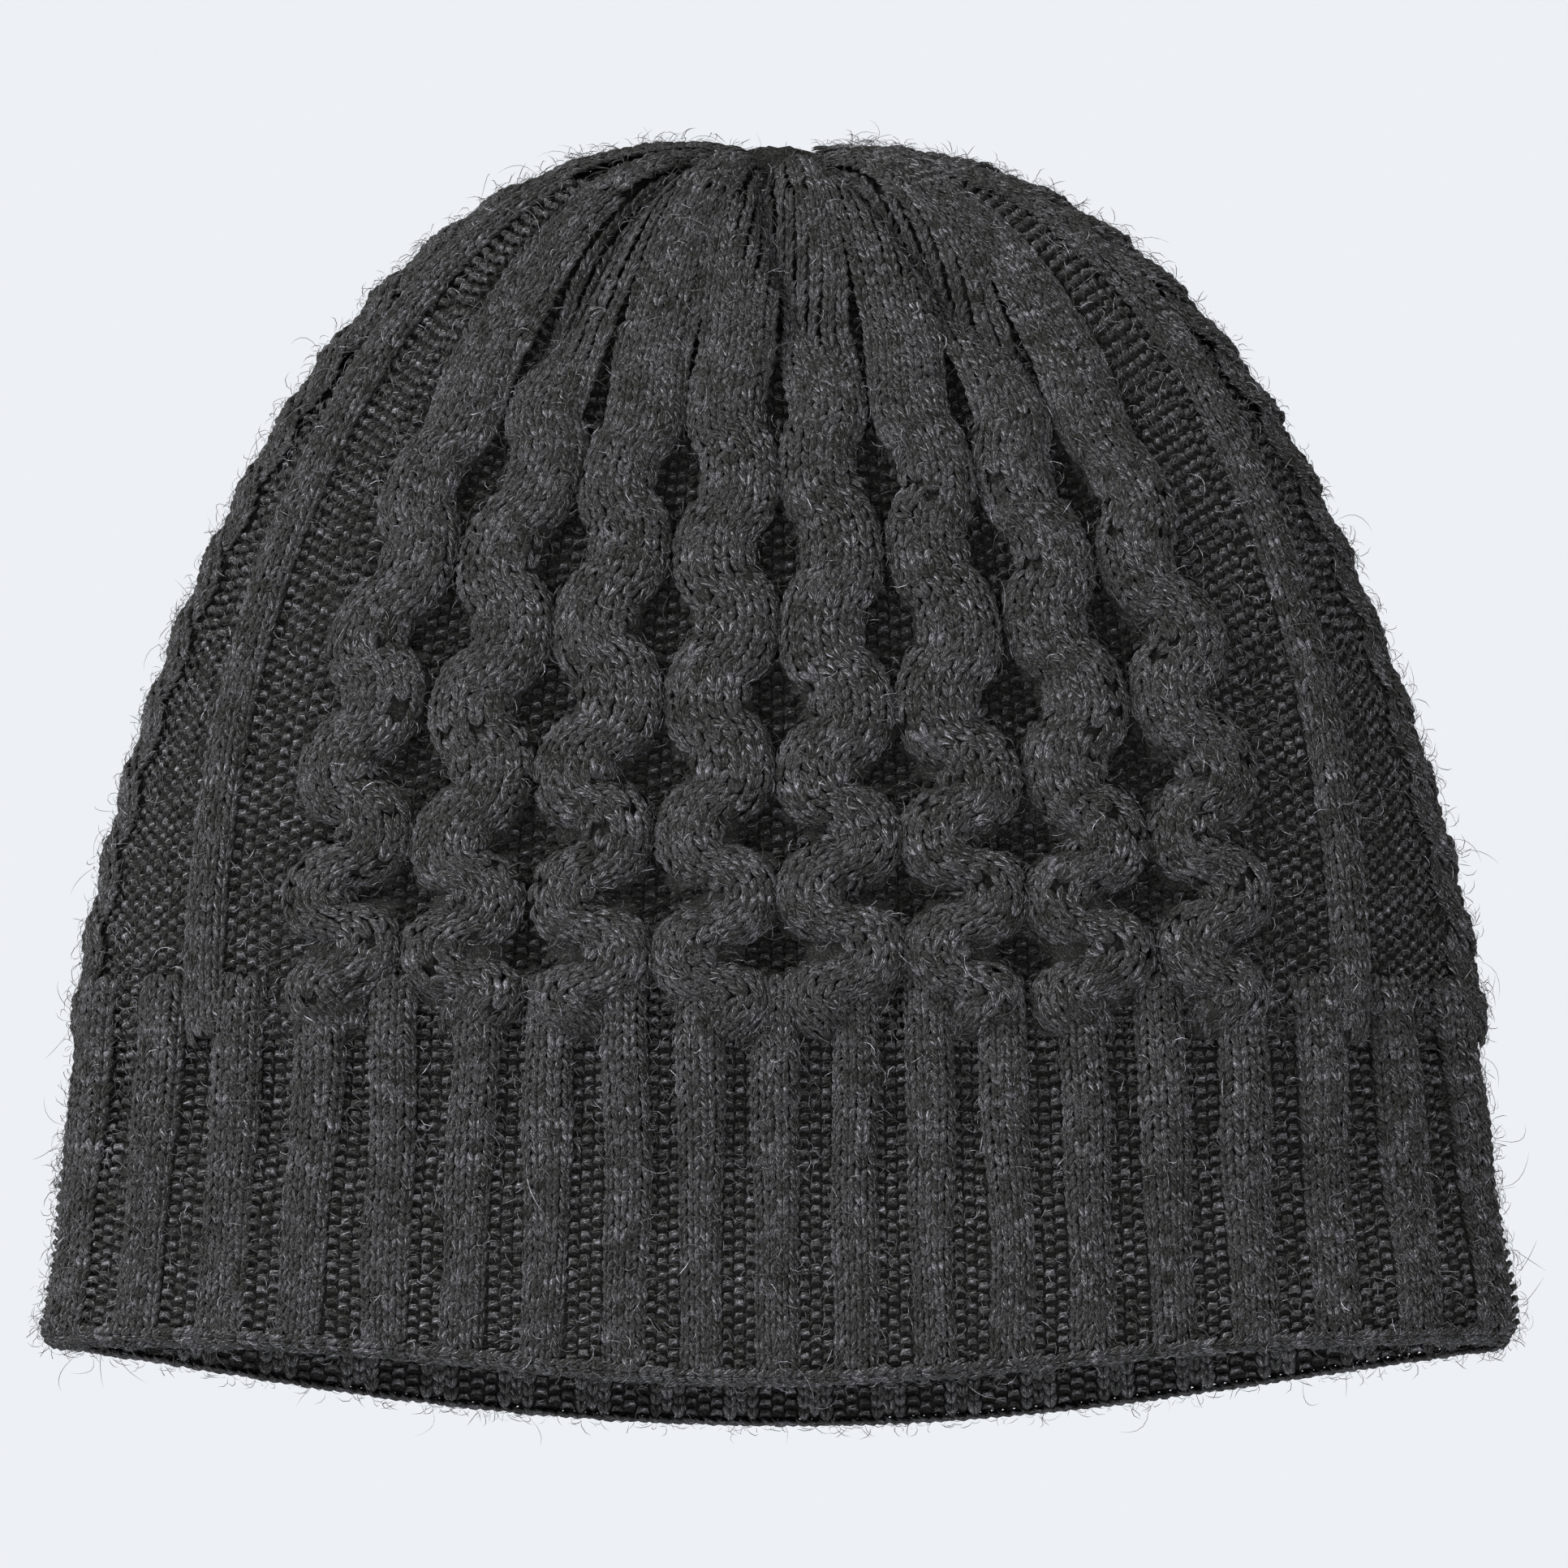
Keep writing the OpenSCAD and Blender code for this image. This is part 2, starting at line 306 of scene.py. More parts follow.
def honeycombCords(side, rng):
    h = honeycomb
    s, swingX, swingY = meander(h["turn"])
    turns = np.arange(-1, 7)
    phase = np.concatenate([swingY[:-1] + n for n in turns])
    swing = np.tile(swingX[:-1], len(turns))
    made = []
    for k in range(h["cords"]):
        beat = phase + wander(rng, phase, h["drift"])
        z = h["firstHole"] + h["period"] * beat + h["growth"] * beat ** 2
        onDome = (z > hat["cuffHeight"] - 3.0 * mm) & (z < hat["crownTop"] - 0.25 * mm) & (phase > h["begin"])
        order = np.flatnonzero(onDome)
        order = order[np.argsort(z[order])]
        z, p, x = z[order], phase[order], swing[order]
        v = rowAtHeight(z)
        wide = halfSizes(v)[0]
        narrow = np.minimum(1, wide / hat["bodyHalfWidth"]) ** h["narrowing"]
        bulge = 1 + h["swell"] * np.sin(math.pi * np.clip((z - hat["cuffHeight"]) / h["swellHeight"], 0, 1))
        place = (k - (h["cords"] - 1) / 2) * h["spread"] * bulge
        gap = h["spread"] * bulge * wide
        fade = smoothStep(h["begin"], h["swinging"], p) * (1 - smoothStep(*h["calming"], p))
        fuller = 1 + h["fuller"] * smoothStep(*h["fullerOver"], p)
        reach = np.maximum(gap - h["kiss"] * narrow * fuller, 0) / 2 * fade * (1 if k % 2 == 0 else -1)
        reach = reach * (1 + wander(rng, p, h["unevenSwing"]))
        flat = smoothStep(*h["flattening"], p)
        w = arcOfShare(place, v) + (reach * x + wander(rng, p, h["unevenCourse"])) / quarterLength(v)
        upright = np.gradient(z) / np.hypot(np.gradient(z), np.gradient(w * quarterLength(v)))
        thin = np.clip(upright, 0.3, 1) ** h["shear"]
        halfWidth = h["halfWidth"] * narrow * fuller * thin * (1 - flat) + gap * 0.5 * flat
        rise = smoothStep(h["begin"], h["risen"], p)
        height = h["height"] * narrow * (1 - (1 - h["flatHeight"]) * flat) * (0.4 + 0.6 * rise)
        made.append(cord(f"honeycomb_cord_{side}_{k + 1}", w + middleOf[side], v,
                         halfWidth * (0.7 + 0.3 * rise), height, -h["sunk"] - h["startSunk"] * (1 - rise),
                         h["wales"], flat=flat))
    return made


ribBand = {
    "middle": 0.80,            # as a share of the half width, and how it leans outwards up the dome
    "lean": 0.1,
    "leanPower": 0.6,
    "halfWidth": 3.4 * mm,
    "height": 2.0 * mm,
    "sunk": 0.2 * mm,
    "narrowUnder": 70 * mm,    # the rib narrows where the dome's half width is less
    "narrowing": 0.7,
    "uneven": 0.3 * mm,
    "wales": 4,
}


def ribShare(v):
    return ribBand["middle"] + ribBand["lean"] * domeShare(v) ** ribBand["leanPower"]


def knitRib(side, hand, rng):
    v = np.linspace(1.0, gauge["lastRow"], 260)
    wide = np.minimum(1, halfSizes(v)[0] / ribBand["narrowUnder"]) ** ribBand["narrowing"]
    w = arcOfShare(ribShare(v) * handSign[hand], v) + wander(rng, v * 8, ribBand["uneven"]) / quarterLength(v)
    if side == "back":
        w = 2 - w
    return cord(f"knit_rib_{side}_{hand}", w, v, ribBand["halfWidth"] * wide, ribBand["height"] * wide,
                -ribBand["sunk"], ribBand["wales"])


rope = {
    "period": 26 * mm,
    "swing": 3.5 * mm,
    "halfWidth": 4.4 * mm,
    "height": 0.8 * mm,    # over the hat, and how much more a strand rises where it passes over the other
    "lift": 0.8 * mm,
    "end": 1.93,
    "narrowUnder": 60 * mm,
    "narrowing": 0.8,
    "wales": 4,
    "hug": 0.9,            # a strand bends with the side fold it lies on
}


def ropeStrands(hand):
    # two strands that pass over each other up a side fold
    v = np.linspace(1.0, rope["end"], 420)
    arc = arcLength(plainPoint(np.full_like(v, 1.0), v))
    small = np.minimum(1, halfSizes(v)[0] / rope["narrowUnder"]) ** rope["narrowing"]
    made = []
    for n in range(2):
        turn = 2 * math.pi * arc / rope["period"] + math.pi * n
        w = handSign[hand] + rope["swing"] * small * np.cos(turn) / quarterLength(v)
        height = (rope["height"] + rope["lift"] * np.maximum(np.sin(turn), -0.8)) * small
        made.append(cord(f"rope_cable_{hand}_strand_{n + 1}", w, v, rope["halfWidth"] * small, height,
                         0.0, rope["wales"], flat=np.full_like(v, rope["hug"])))
    return made


cuff = {
    "ribs": 19,            # across the front, and again across the back
    "crowding": 0.1,       # the ribs stand closer in the middle than at the folds
    "halfWidth": 0.26,     # of a rib, as a share of the pitch
    "height": 1.35 * mm,   # of a rib at the brim, and how much more it has at the top, drawn in
    "drawn": 1.2 * mm,
    "valley": -0.35 * mm,
    "valleyDrawn": -1.1 * mm,
    "wales": 4,
    "purls": 3,
    "thickness": 2.4 * mm, # of the knitted cloth
    "start": 0.0,          # the lowest row, just above the cast-on edge
    "end": 1.03,           # the ribs run a little way into the crown
    "sunk": 0.6 * mm,      # a rib's middle lies this far under the hat's surface
    "insideKnit": 0.9 * mm,  # the inside's stitches lie this much deeper than the cloth is thick
    "insidePurl": 0.2 * mm,
    "insideKnitDepth": 1.6 * mm,
    "insidePurlDepth": 1.4 * mm,
}


def drawn(v):
    return smoothStep(0.25, 0.9, v)


def cuffPlace(rib):
    # w of a rib's middle; rib counts from 0 and may be a fraction
    even = (2 * rib + 1) / cuff["ribs"] - 1
    return even * (1 - cuff["crowding"]) + cuff["crowding"] * even ** 3


def cuffRibs(side, rng):
    v = np.linspace(cuff["start"], cuff["end"], 60)
    made = []
    for n in range(cuff["ribs"]):
        pitch = (cuffPlace(n + 0.5) - cuffPlace(n - 0.5)) * quarterLength(v)
        w = cuffPlace(n) + wander(rng, v * 3, 0.5 * mm) / quarterLength(v)
        wide = cuff["halfWidth"] * pitch * (1 + wander(rng, v * 4, 0.06)) * (1 + 0.06 * drawn(v))
        made.append(cord(f"cuff_rib_{side}_{n + 1}", w + middleOf[side], v, wide,
                         cuff["height"] + cuff["drawn"] * drawn(v), -cuff["sunk"], cuff["wales"]))
    return made


# where the stitches stand

def waleAngles(halfWidth, height, count):
    # angles that share the half ellipse of a cord into equal widths, one column per wale
    psi = np.linspace(-math.pi / 2, math.pi / 2, 91)
    step = np.hypot(halfWidth[:, None] * np.diff(np.sin(psi)), height[:, None] * np.diff(np.cos(psi)))
    arc = np.concatenate([np.zeros((len(halfWidth), 1)), np.cumsum(step, axis=1)], axis=1)
    places = (np.arange(count) + 0.5) / count
    angles = np.array([np.interp(places * a[-1], a, psi) for a in arc])
    return angles, arc[:, -1] / count


def alongLine(point, normal, widths, row, shown=None, start=0.0):
    # stations a row apart along a line of points
    arc = arcLength(point)
    count = int((arc[-1] - start * row) / row)
    if count < 1:
        return None
    at = (np.arange(count) + start + 0.5) * arc[-1] / (count + start + 0.5)
    mix = lambda a: np.stack([np.interp(at, arc, a[:, i]) for i in range(3)], -1)
    along = unit(mix(np.gradient(point, arc, axis=0)))
    out = mix(normal)
    out = unit(out - along * (out * along).sum(-1, keepdims=True))
    width = np.interp(at, arc, widths)
    keep = np.ones(count, bool) if shown is None else np.interp(at, arc, shown.astype(float)) > 0.5
    return {"point": mix(point)[keep], "along": along[keep], "out": out[keep], "width": width[keep],
            "row": np.full(keep.sum(), arc[-1] / (count + start + 0.5))}


def cordStations(c, row, depth):
    # a stitch's place, directions and sizes for every row of every wale of a cord
    angles, width = waleAngles(c["halfWidth"], c["height"], c["wales"])
    halfWidth, height, flat = c["halfWidth"][:, None], c["height"][:, None], c.get("flat")
    step = np.gradient(c["point"], axis=0)
    single = width > gauge["thinnest"]
    rows = []
    for n in range(c["wales"]):
        sin, cos = np.sin(angles[:, n])[:, None], np.cos(angles[:, n])[:, None]
        point = c["point"] + c["across"] * halfWidth * sin + c["normal"] * height * cos
        normal = unit(c["across"] * sin / halfWidth + c["normal"] * cos / height)
        # inside a tight bend a wale runs backwards, under its neighbours
        shown = (np.gradient(point, axis=0) * step).sum(-1) > 0.03 * (step ** 2).sum(-1)
        if flat is not None:
            shown = shown | (flat > 0)
            # in the crown the wales lie side by side on the hat itself
            place = c["w"] + c["halfWidth"] * (2 * (n + 0.5) / c["wales"] - 1) / quarterLength(c["v"])
            spread, outward = hatPoint(place, c["v"]), hatNormal(place, c["v"])
            point = point + (spread + outward * height * cos - point) * flat[:, None]
            normal = unit(normal + (outward - normal) * flat[:, None])
        if n % 2 == 1:
            shown = shown & single     # every other wale is knitted together near the crown
        rows.append(alongLine(point, normal, np.where(single, width, 2 * width), row, shown,
                              start=0.5 * (n % 2)))
    return deepened(join([r for r in rows if r is not None and len(r["point"])]), depth)


def join(rows):
    return {k: np.concatenate([r[k] for r in rows]) for k in rows[0]}


def deepened(stations, depth):
    stations["depth"] = depth * np.minimum(1, stations["width"] / gauge["wale"])
    return stations


def only(stations, keep):
    return {k: a[keep] for k, a in stations.items()}


print("surface and paths ready")

rng = np.random.default_rng(gauge["seed"])
domeCords = []
for side in middleOf:
    domeCords += honeycombCords(side, rng)
    domeCords += [knitRib(side, hand, rng) for hand in handSign]
for hand in handSign:
    domeCords += ropeStrands(hand)
cuffCords = {side: cuffRibs(side, rng) for side in middleOf}


def coverOf(found, spacing=0.9 * mm):
    # the cords as rows of samples from the bottom up: place, half width and height
    rows = []
    for c in found:
        arc = arcLength(c["point"])
        pick = np.searchsorted(arc, np.arange(0, arc[-1], spacing))
        rows.append(np.column_stack([c["point"][pick], c["halfWidth"][pick], c["height"][pick]]))
    rows = np.concatenate(rows)
    return rows[np.argsort(rows[:, 2])]


def cordRelief(cover, ground, normal, reach=10 * mm, batch=300):
    # how far the cords stand above the ground, and how near to a cord's middle line each point is
    relief, share = np.full(len(ground), -1.0), np.full(len(ground), 9.0)
    order = np.argsort(ground[:, 2])
    for first in range(0, len(order), batch):
        here = order[first:first + batch]
        low, high = ground[here, 2].min() - reach, ground[here, 2].max() + reach
        near = cover[np.searchsorted(cover[:, 2], low):np.searchsorted(cover[:, 2], high)]
        if not len(near):
            continue
        gap = near[None, :, :3] - ground[here][:, None, :]
        lift = np.einsum("ijk,ik->ij", gap, normal[here])
        away = np.sqrt(np.maximum((gap ** 2).sum(-1) - lift ** 2, 0))
        part = away / near[:, 3] + 9.0 * (np.abs(lift) > reach)
        dome = lift + near[:, 4] * np.sqrt(np.maximum(1 - part ** 2, 0))
        relief[here] = np.where(part < 1, dome, -1.0).max(axis=1)
        share[here] = part.min(axis=1)
    return relief, share


print("cords", len(domeCords))


# materials

def colour(hexCode):
    # sRGB hex to linear light
    parts = [int(hexCode[i:i + 2], 16) / 255 for i in (1, 3, 5)]
    return tuple(c / 12.92 if c <= 0.04045 else ((c + 0.055) / 1.055) ** 2.4 for c in parts) + (1.0,)


def feed(node, values):
    # an input takes a value, or links from a socket or from a list of sockets
    for key, value in values.items():
        for source in value if isinstance(value, list) else [value]:
            if isinstance(source, bpy.types.NodeSocket):
                node.id_data.links.new(source, node.inputs[key])
            else:
                node.inputs[key].default_value = source


def add(tree, kind, values=None, give=0, **settings):
    # one node with its settings and its inputs; returns one of its outputs
    node = tree.nodes.new(kind)
    for key, value in settings.items():
        setattr(node, key, value)
    feed(node, values or {})
    return node.outputs[give] if node.outputs else None


def shadeStops(ramp, stops):
    # sets a colour ramp from places and hex codes
    elements = ramp.node.color_ramp.elements
    for i, (place, code) in enumerate(stops):
        stop = elements[i] if i < 2 else elements.new(place)
        stop.position, stop.color = place, colour(code)
    return ramp


def newMaterial(name):
    material = bpy.data.materials.new(name)
    material.use_nodes = True
    tree = material.node_tree
    return material, tree, tree.nodes["Principled BSDF"]


wool = {
    "stops": ((0.47, "#191912"), (0.57, "#3e3e3b"), (0.65, "#6d6c71"), (0.73, "#cbc9d1")),
    "mix": (0.78, 0.32, 0.03, 0.025),  # shares of the streaks, specks, patches and each stitch's tone
    "sheen": 0.12,
    "fibre": 0.16 * mm,    # drawn three times as coarse as real hairs, so that they show
    "patch": 5.0 * mm,     # slow change of shade in the blended yarn
    "streaks": (20, 2.8, 37),  # hairs round a yarn, breaks along a stitch, and apart from stitch to stitch
    "twist": 0.55,         # turns of the yarn in one stitch
    "fuzz": 0.22 * mm,
}


def woolFinish(name, shade=1.0, sheen=1.0):
    # dyed-in-the-wool lambswool: hairs of several greys, quite matt, with a pale bloom at the edges
    material, tree, shader = newMaterial(name)
    place = add(tree, "ShaderNodeTexCoord", give="Object")
    along, aroundYarn, tone = (add(tree, "ShaderNodeAttribute", give="Fac", attribute_name=label)
                               for label in ("along", "round", "tone"))
    twisted = add(tree, "ShaderNodeMath", {0: along, 1: wool["twist"], 2: aroundYarn},
                  operation="MULTIPLY_ADD")
    fibres = add(tree, "ShaderNodeCombineXYZ", {"X": twisted, "Y": along, "Z": tone})
    fibres = add(tree, "ShaderNodeMapping", {"Vector": fibres, "Scale": wool["streaks"]})
    streak = add(tree, "ShaderNodeTexNoise", {"Vector": fibres, "Scale": 1.0, "Detail": 3.0,
                                              "Roughness": 0.7})
    speck = add(tree, "ShaderNodeTexNoise", {"Vector": place, "Scale": 1 / (2.2 * wool["fibre"]),
                                             "Detail": 2.0, "Roughness": 0.65})
    patch = add(tree, "ShaderNodeTexNoise", {"Vector": place, "Scale": 1 / wool["patch"], "Detail": 3.0})
    mixed = 0.0
    for part, weight in zip((streak, speck, patch, tone), wool["mix"]):
        mixed = add(tree, "ShaderNodeMath", {0: part, 1: weight, 2: mixed}, operation="MULTIPLY_ADD")
    shades = shadeStops(add(tree, "ShaderNodeValToRGB", {"Fac": mixed}), wool["stops"])
    # shade scales the whole colour: copies below 1 carry painted shade, copies above 1 painted light
    shaded = add(tree, "ShaderNodeVectorMath", {0: shades, "Scale": shade}, operation="SCALE")
    relief = add(tree, "ShaderNodeMath", {0: streak, 1: speck}, operation="ADD")
    bump = add(tree, "ShaderNodeBump", {"Height": relief, "Strength": 0.7, "Distance": wool["fuzz"]})
    feed(shader, {"Base Color": shaded, "Normal": bump, "Roughness": 1.0, "Specular IOR Level": 0.08,
                  "Sheen Weight": wool["sheen"] * sheen, "Sheen Roughness": 0.5,
                  "Sheen Tint": colour("#b0b0b4")})
    return material


lambswool = woolFinish("lambswool_yarn")
# painted light: the purl gutters beside the honeycomb are painted a little lighter to offset the shade beside
# the cords
gutterWoolPaintedLight = woolFinish("lambswool_purl_side_painted_light", shade=1.15)
# painted shade: the honeycomb's holes and the base cloth under the stitches get this copy at 0.6, darker,
# standing in for the shade they lie in
groundWoolPaintedShade = woolFinish("lambswool_purl_ground_painted_shade", shade=0.6, sheen=0.3)
# painted light: the cuff's valley purls are painted 1.3 times lighter to offset the shade between the ribs
valleyWoolPaintedLight = woolFinish("lambswool_purl_valleys_painted_light", shade=1.3)
# painted light: the inside of the hat, its seam and the gathering yarn are painted 1.45 times lighter,
# standing in for light that reaches in there
innerWoolPaintedLight = woolFinish("lambswool_inside_painted_light", shade=1.45)
# painted light: the loose hairs are painted 1.7 times lighter, for the light they catch as they stand off the
# yarn
haloWoolPaintedLight = woolFinish("lambswool_loose_hairs_painted_light", shade=1.7)

print("materials ready")


# stitches

knitStitch = {
    # the two legs of a V, in wales across, rows up and wales out, from below the row to above it
    "legs": (((0.02, -0.74, -0.38), (0.24, 0.06, 0.66), (0.46, 0.98, -0.36)),
             ((-0.02, -0.74, -0.38), (-0.24, 0.06, 0.66), (-0.46, 0.98, -0.36))),
    "yarn": 0.29,          # radius as a share of the wale
}
purlStitch = {
    "legs": (((-0.56, -0.30, -0.30), (0.0, 0.75, 0.75), (0.56, -0.30, -0.30)),),
    "yarn": 0.31,
}


def newTree(name, inputs, output):
    # an empty Geometry Nodes tree, the identifiers of its inputs, and their sockets inside it
    tree = bpy.data.node_groups.new(name, "GeometryNodeTree")
    tree.is_modifier = True
    identifiers = {}
    for label, kind, value in inputs:
        socket = tree.interface.new_socket(label, in_out="INPUT", socket_type="NodeSocket" + kind)
        if value is not None:
            socket.default_value = value
        identifiers[label] = socket.identifier
    tree.interface.new_socket(output, in_out="OUTPUT", socket_type="NodeSocketGeometry")
    return tree, identifiers, tree.nodes.new("NodeGroupInput").outputs


def chances(tree, seed, first, low, count):
    # rows of random numbers from low to 1, one row a use
    rows = []
    for n in range(count):
        turned = add(tree, "ShaderNodeMath", {0: seed, 1: first + n}, operation="ADD")
        rows.append(add(tree, "FunctionNodeRandomValue", {2: low, 3: 1.0, "Seed": turned}, give=1,
                        data_type="FLOAT"))
    return rows


def finishTree(tree, inputs, placed, tone, smooth):
    # each copy gets a tone of its own, then they become one mesh of the finish
    shape = add(tree, "GeometryNodeStoreNamedAttribute", {"Geometry": placed, "Name": "tone", "Value": tone},
                domain="INSTANCE")
    shape = add(tree, "GeometryNodeRealizeInstances", {"Geometry": shape})
    if smooth:
        shape = add(tree, "GeometryNodeSetShadeSmooth", {"Geometry": shape})
    shape = add(tree, "GeometryNodeSetMaterial", {"Geometry": shape, "Material": inputs["Finish"]})
    add(tree, "NodeGroupOutput", {0: shape})


def stitchTree(name, shape):
    tree, identifiers, inputs = newTree(name, (
        ("Stations", "Geometry", None), ("Yarn Radius", "Float", shape["yarn"]),
        ("Unevenness", "Float", 0.12), ("Sides", "Int", 4), ("Pieces", "Int", 4),
        ("Seed", "Int", gauge["seed"]), ("Finish", "Material", None)), "Yarn")

    # a yarn is thickest in the middle of its leg and closes to a point where it dives into the cloth
    factor = add(tree, "GeometryNodeSplineParameter", give="Factor")
    bow = add(tree, "ShaderNodeMath", {0: factor, 1: math.pi}, operation="MULTIPLY")
    bow = add(tree, "ShaderNodeMath", {0: bow}, operation="SINE")
    bow = add(tree, "ShaderNodeMath", {0: bow, 1: 0.5}, operation="POWER")
    thickness = add(tree, "ShaderNodeMath", {0: bow, 1: inputs["Yarn Radius"]}, operation="MULTIPLY")
    section = add(tree, "GeometryNodeCurvePrimitiveCircle", {"Resolution": inputs["Sides"], "Radius": 1.0})
    section = add(tree, "GeometryNodeStoreNamedAttribute", {
        "Geometry": section, "Name": "round",
        "Value": add(tree, "GeometryNodeSplineParameter", give="Factor")})
    legs = []
    for start, middle, end in shape["legs"]:
        leg = add(tree, "GeometryNodeCurveQuadraticBezier", {"Resolution": inputs["Pieces"], "Start": start,
                                                             "Middle": middle, "End": end})
        leg = add(tree, "GeometryNodeStoreNamedAttribute", {"Geometry": leg, "Name": "along",
                                                            "Value": factor})
        legs.append(add(tree, "GeometryNodeCurveToMesh", {"Curve": leg, "Profile Curve": section,
                                                          "Scale": thickness}))
    stitch = add(tree, "GeometryNodeJoinGeometry", {0: legs})
    stitch = add(tree, "GeometryNodeMergeByDistance", {"Geometry": stitch, "Distance": 0.002})

    turned, tipped, swollen, tone = chances(tree, inputs["Seed"], 1.0, -1.0, 4)
    out, along, measure = (add(tree, "GeometryNodeInputNamedAttribute", {"Name": label},
                               data_type="FLOAT_VECTOR") for label in ("out", "along", "size"))
    stand = add(tree, "FunctionNodeAxesToRotation", {"Primary Axis": out, "Secondary Axis": along},
                primary_axis="Z", secondary_axis="Y")
    lean = add(tree, "ShaderNodeMath", {0: turned, 1: inputs["Unevenness"]}, operation="MULTIPLY")
    tip = add(tree, "ShaderNodeMath", {0: tipped, 1: inputs["Unevenness"]}, operation="MULTIPLY")
    lean = add(tree, "ShaderNodeCombineXYZ", {"X": tip, "Y": tip, "Z": lean})
    lean = add(tree, "FunctionNodeEulerToRotation", {"Euler": lean})
    stand = add(tree, "FunctionNodeRotateRotation", {"Rotation": stand, "Rotate By": lean},
                rotation_space="LOCAL")
    swell = add(tree, "ShaderNodeMath", {0: swollen, 1: inputs["Unevenness"], 2: 1.0},
                operation="MULTIPLY_ADD")
    size = add(tree, "ShaderNodeVectorMath", {0: measure, "Scale": swell}, operation="SCALE")
    placed = add(tree, "GeometryNodeInstanceOnPoints", {"Points": inputs["Stations"], "Instance": stitch,
                                                        "Rotation": stand, "Scale": size})
    finishTree(tree, inputs, placed, tone, True)
    return tree, identifiers


knitTree = stitchTree("knit_stitch", knitStitch)
purlTree = stitchTree("purl_stitch", purlStitch)


def newObject(name, mesh):
    obj = bpy.data.objects.new(name, mesh)
    scene.collection.objects.link(obj)
    return obj


def meshFrom(name, points, faces=(), **vectors):
    # a mesh, with a vector on each point for every further name
    mesh = bpy.data.meshes.new(name)
    mesh.from_pydata([tuple(p) for p in points], [], [tuple(f) for f in faces])
    mesh.update()
    for label, values in vectors.items():
        mesh.attributes.new(label, "FLOAT_VECTOR", "POINT").data.foreach_set("vector", values.ravel())
    return mesh


def grown(name, mesh, treeAndInputs, values):
    # runs a tree on a mesh and keeps the result as a plain mesh
    tree, identifiers = treeAndInputs
    obj = newObject(name, mesh)
    modifier = obj.modifiers.new("grow", "NODES")
    modifier.node_group = tree
    for label, value in values.items():
        modifier[identifiers[label]] = value
    depsgraph = bpy.context.evaluated_depsgraph_get()
    result = bpy.data.meshes.new_from_object(obj.evaluated_get(depsgraph))
    obj.modifiers.clear()
    obj.data = result
    result.name = name
    # the stations' own directions aren't needed on the finished yarn
    for label in ("out", "size"):
        if label in result.attributes:
            result.attributes.remove(result.attributes[label])
    return obj


stood = {}                 # the stations of each piece, where the loose hairs start too


def stitches(name, stations, treeAndInputs, finish, **values):
    stood[name] = stations
    size = np.stack([stations[k] for k in ("width", "row", "depth")], -1)
    mesh = meshFrom(name + "_stations", stations["point"], out=stations["out"], along=stations["along"],
                    size=size)
    return grown(name, mesh, treeAndInputs, {"Finish": finish, **values})


crown = {
    "begin": 160 * mm,     # the honeycomb ends and the decreases begin
    "centre": 195 * mm,    # the last rows, drawn together
    "stitchDepth": 1.7 * mm,
}
pieces = {}                # the yarn of each zone of the crown: name -> list of stations


def give(name, stations):
    if len(stations["point"]):
        pieces.setdefault(name, []).append(stations)


for c in domeCords:
    name, stations = c["name"], cordStations(c, gauge["row"], crown["stitchDepth"])
    z, inPanel = stations["point"][:, 2], c["name"].startswith("honeycomb")
    give(name, only(stations, z < crown["begin" if inPanel else "centre"]))
    if inPanel:
        give("crown_wales_" + ("back" if "back" in name else "front"),
             only(stations, (z >= crown["begin"]) & (z < crown["centre"])))
    give("crown_centre_yarn", only(stations, z >= crown["centre"]))


# purl ground between the cords

ground = {
    "panelEdge": 0.655,    # border of the honeycomb, as a share of the half width, and how it widens
    "panelGrowth": 0.085,
    "level": -0.6 * mm,
    "holeLevel": -1.7 * mm, # the honeycomb's holes are deeper
    "depth": 1.7 * mm,
    "cover": 0.85,          # a purl stitch nearer to a cord's middle than this is hidden under it
    "single": 1.3 * mm,     # narrower wales are knitted together, and the narrowest end
    "narrowest": 0.7 * mm,
    "underRib": 0.03,       # how far the ground runs in under a rib
}


def groundZone(begin, end, v, level):
    # the purl wales between two borders, given as w along v
    across = (end - begin) * quarterLength(v)
    count = max(1, int(round(across.max() / gauge["wale"])))
    width = across / count
    single = width > ground["single"]
    made = []
    for n in range(count):
        w = begin + (end - begin) * (n + 0.5) / count
        shown = (single | (n % 2 == 0)) & (width > ground["narrowest"])
        normal = hatNormal(w, v)
        line = alongLine(hatPoint(w, v) + normal * level, normal, np.where(single, width, 2 * width),
                         gauge["row"], shown, start=0.5 * (n % 2))
        if line is not None and len(line["point"]):
            made.append(line)
    return deepened(join(made), ground["depth"])


def borderOfPanel(v):
    return arcOfShare(ground["panelEdge"] + ground["panelGrowth"] * domeShare(v), v)


cover = coverOf(domeCords)
v = np.linspace(1.0, gauge["lastRow"], 240)
panelBorder = borderOfPanel(v)
ribIn, ribOut = (arcOfShare(ribShare(v) + step, v) for step in (-ground["underRib"], ground["underRib"]))
zones = {
    "honeycomb_ground_front": (-panelBorder, panelBorder),
    "honeycomb_ground_back": (2 - panelBorder, 2 + panelBorder),
    "purl_gutter_front_right": (panelBorder, ribIn),
    "purl_gutter_front_left": (-ribIn, -panelBorder),
    "purl_gutter_back_right": (2 - ribIn, 2 - panelBorder),
    "purl_gutter_back_left": (2 + panelBorder, 2 + ribIn),
    "side_ground_right": (ribOut, 2 - ribOut),
    "side_ground_left": (-2 + ribOut, -ribOut),
}
for name, (begin, end) in zones.items():
    level = ground["holeLevel" if name.startswith("honeycomb") else "level"]
    stations = groundZone(begin, end, v, level)
    _, share = cordRelief(cover, stations["point"], stations["out"])
    give(name, only(stations, share > ground["cover"]))

print("crown stations", sum(len(s["point"]) for rows in pieces.values() for s in rows))


# the cuff's stitches

